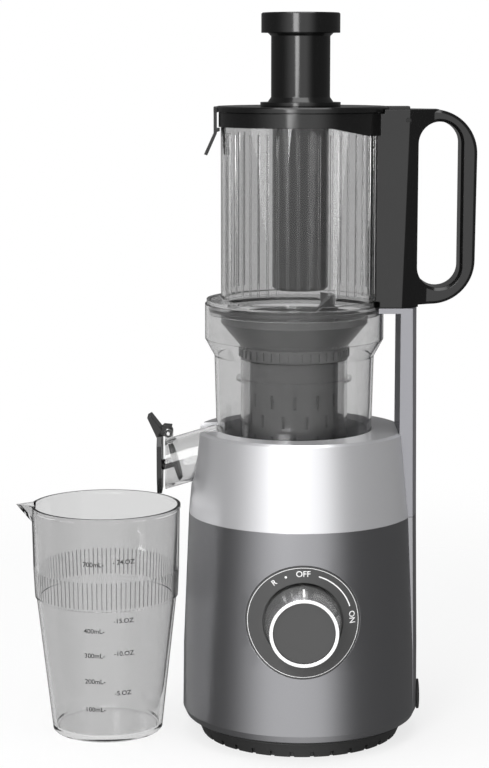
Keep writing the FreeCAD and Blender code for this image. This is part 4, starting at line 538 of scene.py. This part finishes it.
def base_screws():
    """Screw heads that hold the base plate, seen from below."""
    under_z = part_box("base_plate")[0][2] + PLATE_OVER_RING
    for index in range(SCREW_COUNT):
        pick()
        turn = 2 * math.pi * index / SCREW_COUNT
        at = (SCREW_CIRCLE_R * math.cos(turn), SCREW_CIRCLE_R * math.sin(turn), under_z - SCREW_HEAD_T / 2)
        bpy.ops.mesh.primitive_cylinder_add(vertices=32, radius=SCREW_R, depth=SCREW_HEAD_T)
        piece = settle((0, 0, 0), at)
        ease_edges(SCREW_EDGE)
        own(piece, "base_screw_%d" % (index + 1), STEEL, "base")


def studio_world():
    """White behind the object, a bright front for reflections and even light for the rest."""
    world = bpy.data.worlds.new("studio")
    world.use_nodes = True
    bpy.context.scene.world = world
    sky = Finish("studio", world.node_tree)
    parts = sky.node("ShaderNodeSeparateXYZ", None, {0: sky.node("ShaderNodeTexCoord")["Generated"]})
    front = sky.ramp(parts["Y"], *FRONT_FADE)
    left = sky.ramp(parts["X"], *LEFT_FADE)
    right = sky.ramp(parts["X"], *RIGHT_FADE)
    path = sky.node("ShaderNodeLightPath")
    glossy = path["Is Glossy Ray"]
    strength = glossy * (SIDE_GLOW + front * left * right * FRONT_GLOW) + (1 - glossy) * EVEN_GLOW
    seen = path["Is Camera Ray"].or_more(path["Is Transmission Ray"])
    light = sky.node("ShaderNodeMix", {"data_type": "FLOAT"}, {0: seen, 2: strength, 3: 1.0})["Result"]
    background = sky.node("ShaderNodeBackground", None, {"Color": grey(1.0), "Strength": light})
    out = sky.tree.nodes.new("ShaderNodeOutputWorld")
    sky.tree.links.new(background["Background"].socket, out.inputs["Surface"])


def softbox(name, at, toward, width, height, power, mirrored):
    """Rectangular area light at a place, aimed at another, seen in glossy surfaces or not."""
    lamp = bpy.data.lights.new(name, "AREA")
    lamp.shape = "RECTANGLE"
    lamp.size = width
    lamp.size_y = height
    lamp.energy = power
    holder = bpy.data.objects.new(name, lamp)
    holder.location = at
    holder.rotation_euler = (Vector(toward) - Vector(at)).to_track_quat("-Z", "Z").to_euler()
    holder.visible_glossy = mirrored
    bpy.context.scene.collection.objects.link(holder)


def floor():
    """Pale round floor that keeps the shadow and fades into the white behind."""
    pick()
    bpy.ops.mesh.primitive_circle_add(vertices=96, radius=FLOOR_R, fill_type="NGON")
    ground = bpy.context.object
    ground.name = "studio_floor"
    ground.location.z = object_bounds()[0][2] - FLOOR_GAP
    finish = Finish("pale_floor")
    away = finish.node("ShaderNodeVectorMath", {"operation": "LENGTH"}, {0: finish.place()})["Value"]
    path = finish.node("ShaderNodeLightPath")
    seen = path["Is Camera Ray"].or_more(path["Is Transmission Ray"])
    hidden = finish.ramp(away, *FLOOR_FADE).or_more(path["Is Glossy Ray"])
    matt = finish.node("ShaderNodeBsdfDiffuse", None, {"Color": grey(FLOOR_SHADE)})["BSDF"]
    glow = finish.node("ShaderNodeEmission", None, {"Color": grey(1.0), "Strength": 1.0})["Emission"]
    lit = finish.choose(seen * FLOOR_GLOW, matt, glow)
    clear = finish.node("ShaderNodeBsdfTransparent")["BSDF"]
    ground.data.materials.append(finish.surface(finish.choose(hidden, lit, clear)))


def camera():
    """Camera at the photograph's place, with its focal length."""
    eye = bpy.data.cameras.new("photo_camera")
    eye.sensor_fit = "VERTICAL"
    eye.sensor_height = SENSOR
    eye.lens = FOCAL_PX * SENSOR / PICTURE_HEIGHT_PX
    holder = bpy.data.objects.new("photo_camera", eye)
    holder.location = CAMERA_AT
    holder.rotation_euler = (math.radians(90 - CAMERA_DOWN), 0, 0)
    bpy.context.scene.collection.objects.link(holder)
    bpy.context.scene.camera = holder


dial_print()
cup_print()
cup_ribs()
knob_pointer()
base_screws()
camera()
studio_world()
floor()
for box in SOFTBOXES:
    softbox(*box)
bpy.context.scene.view_settings.view_transform = "Standard"
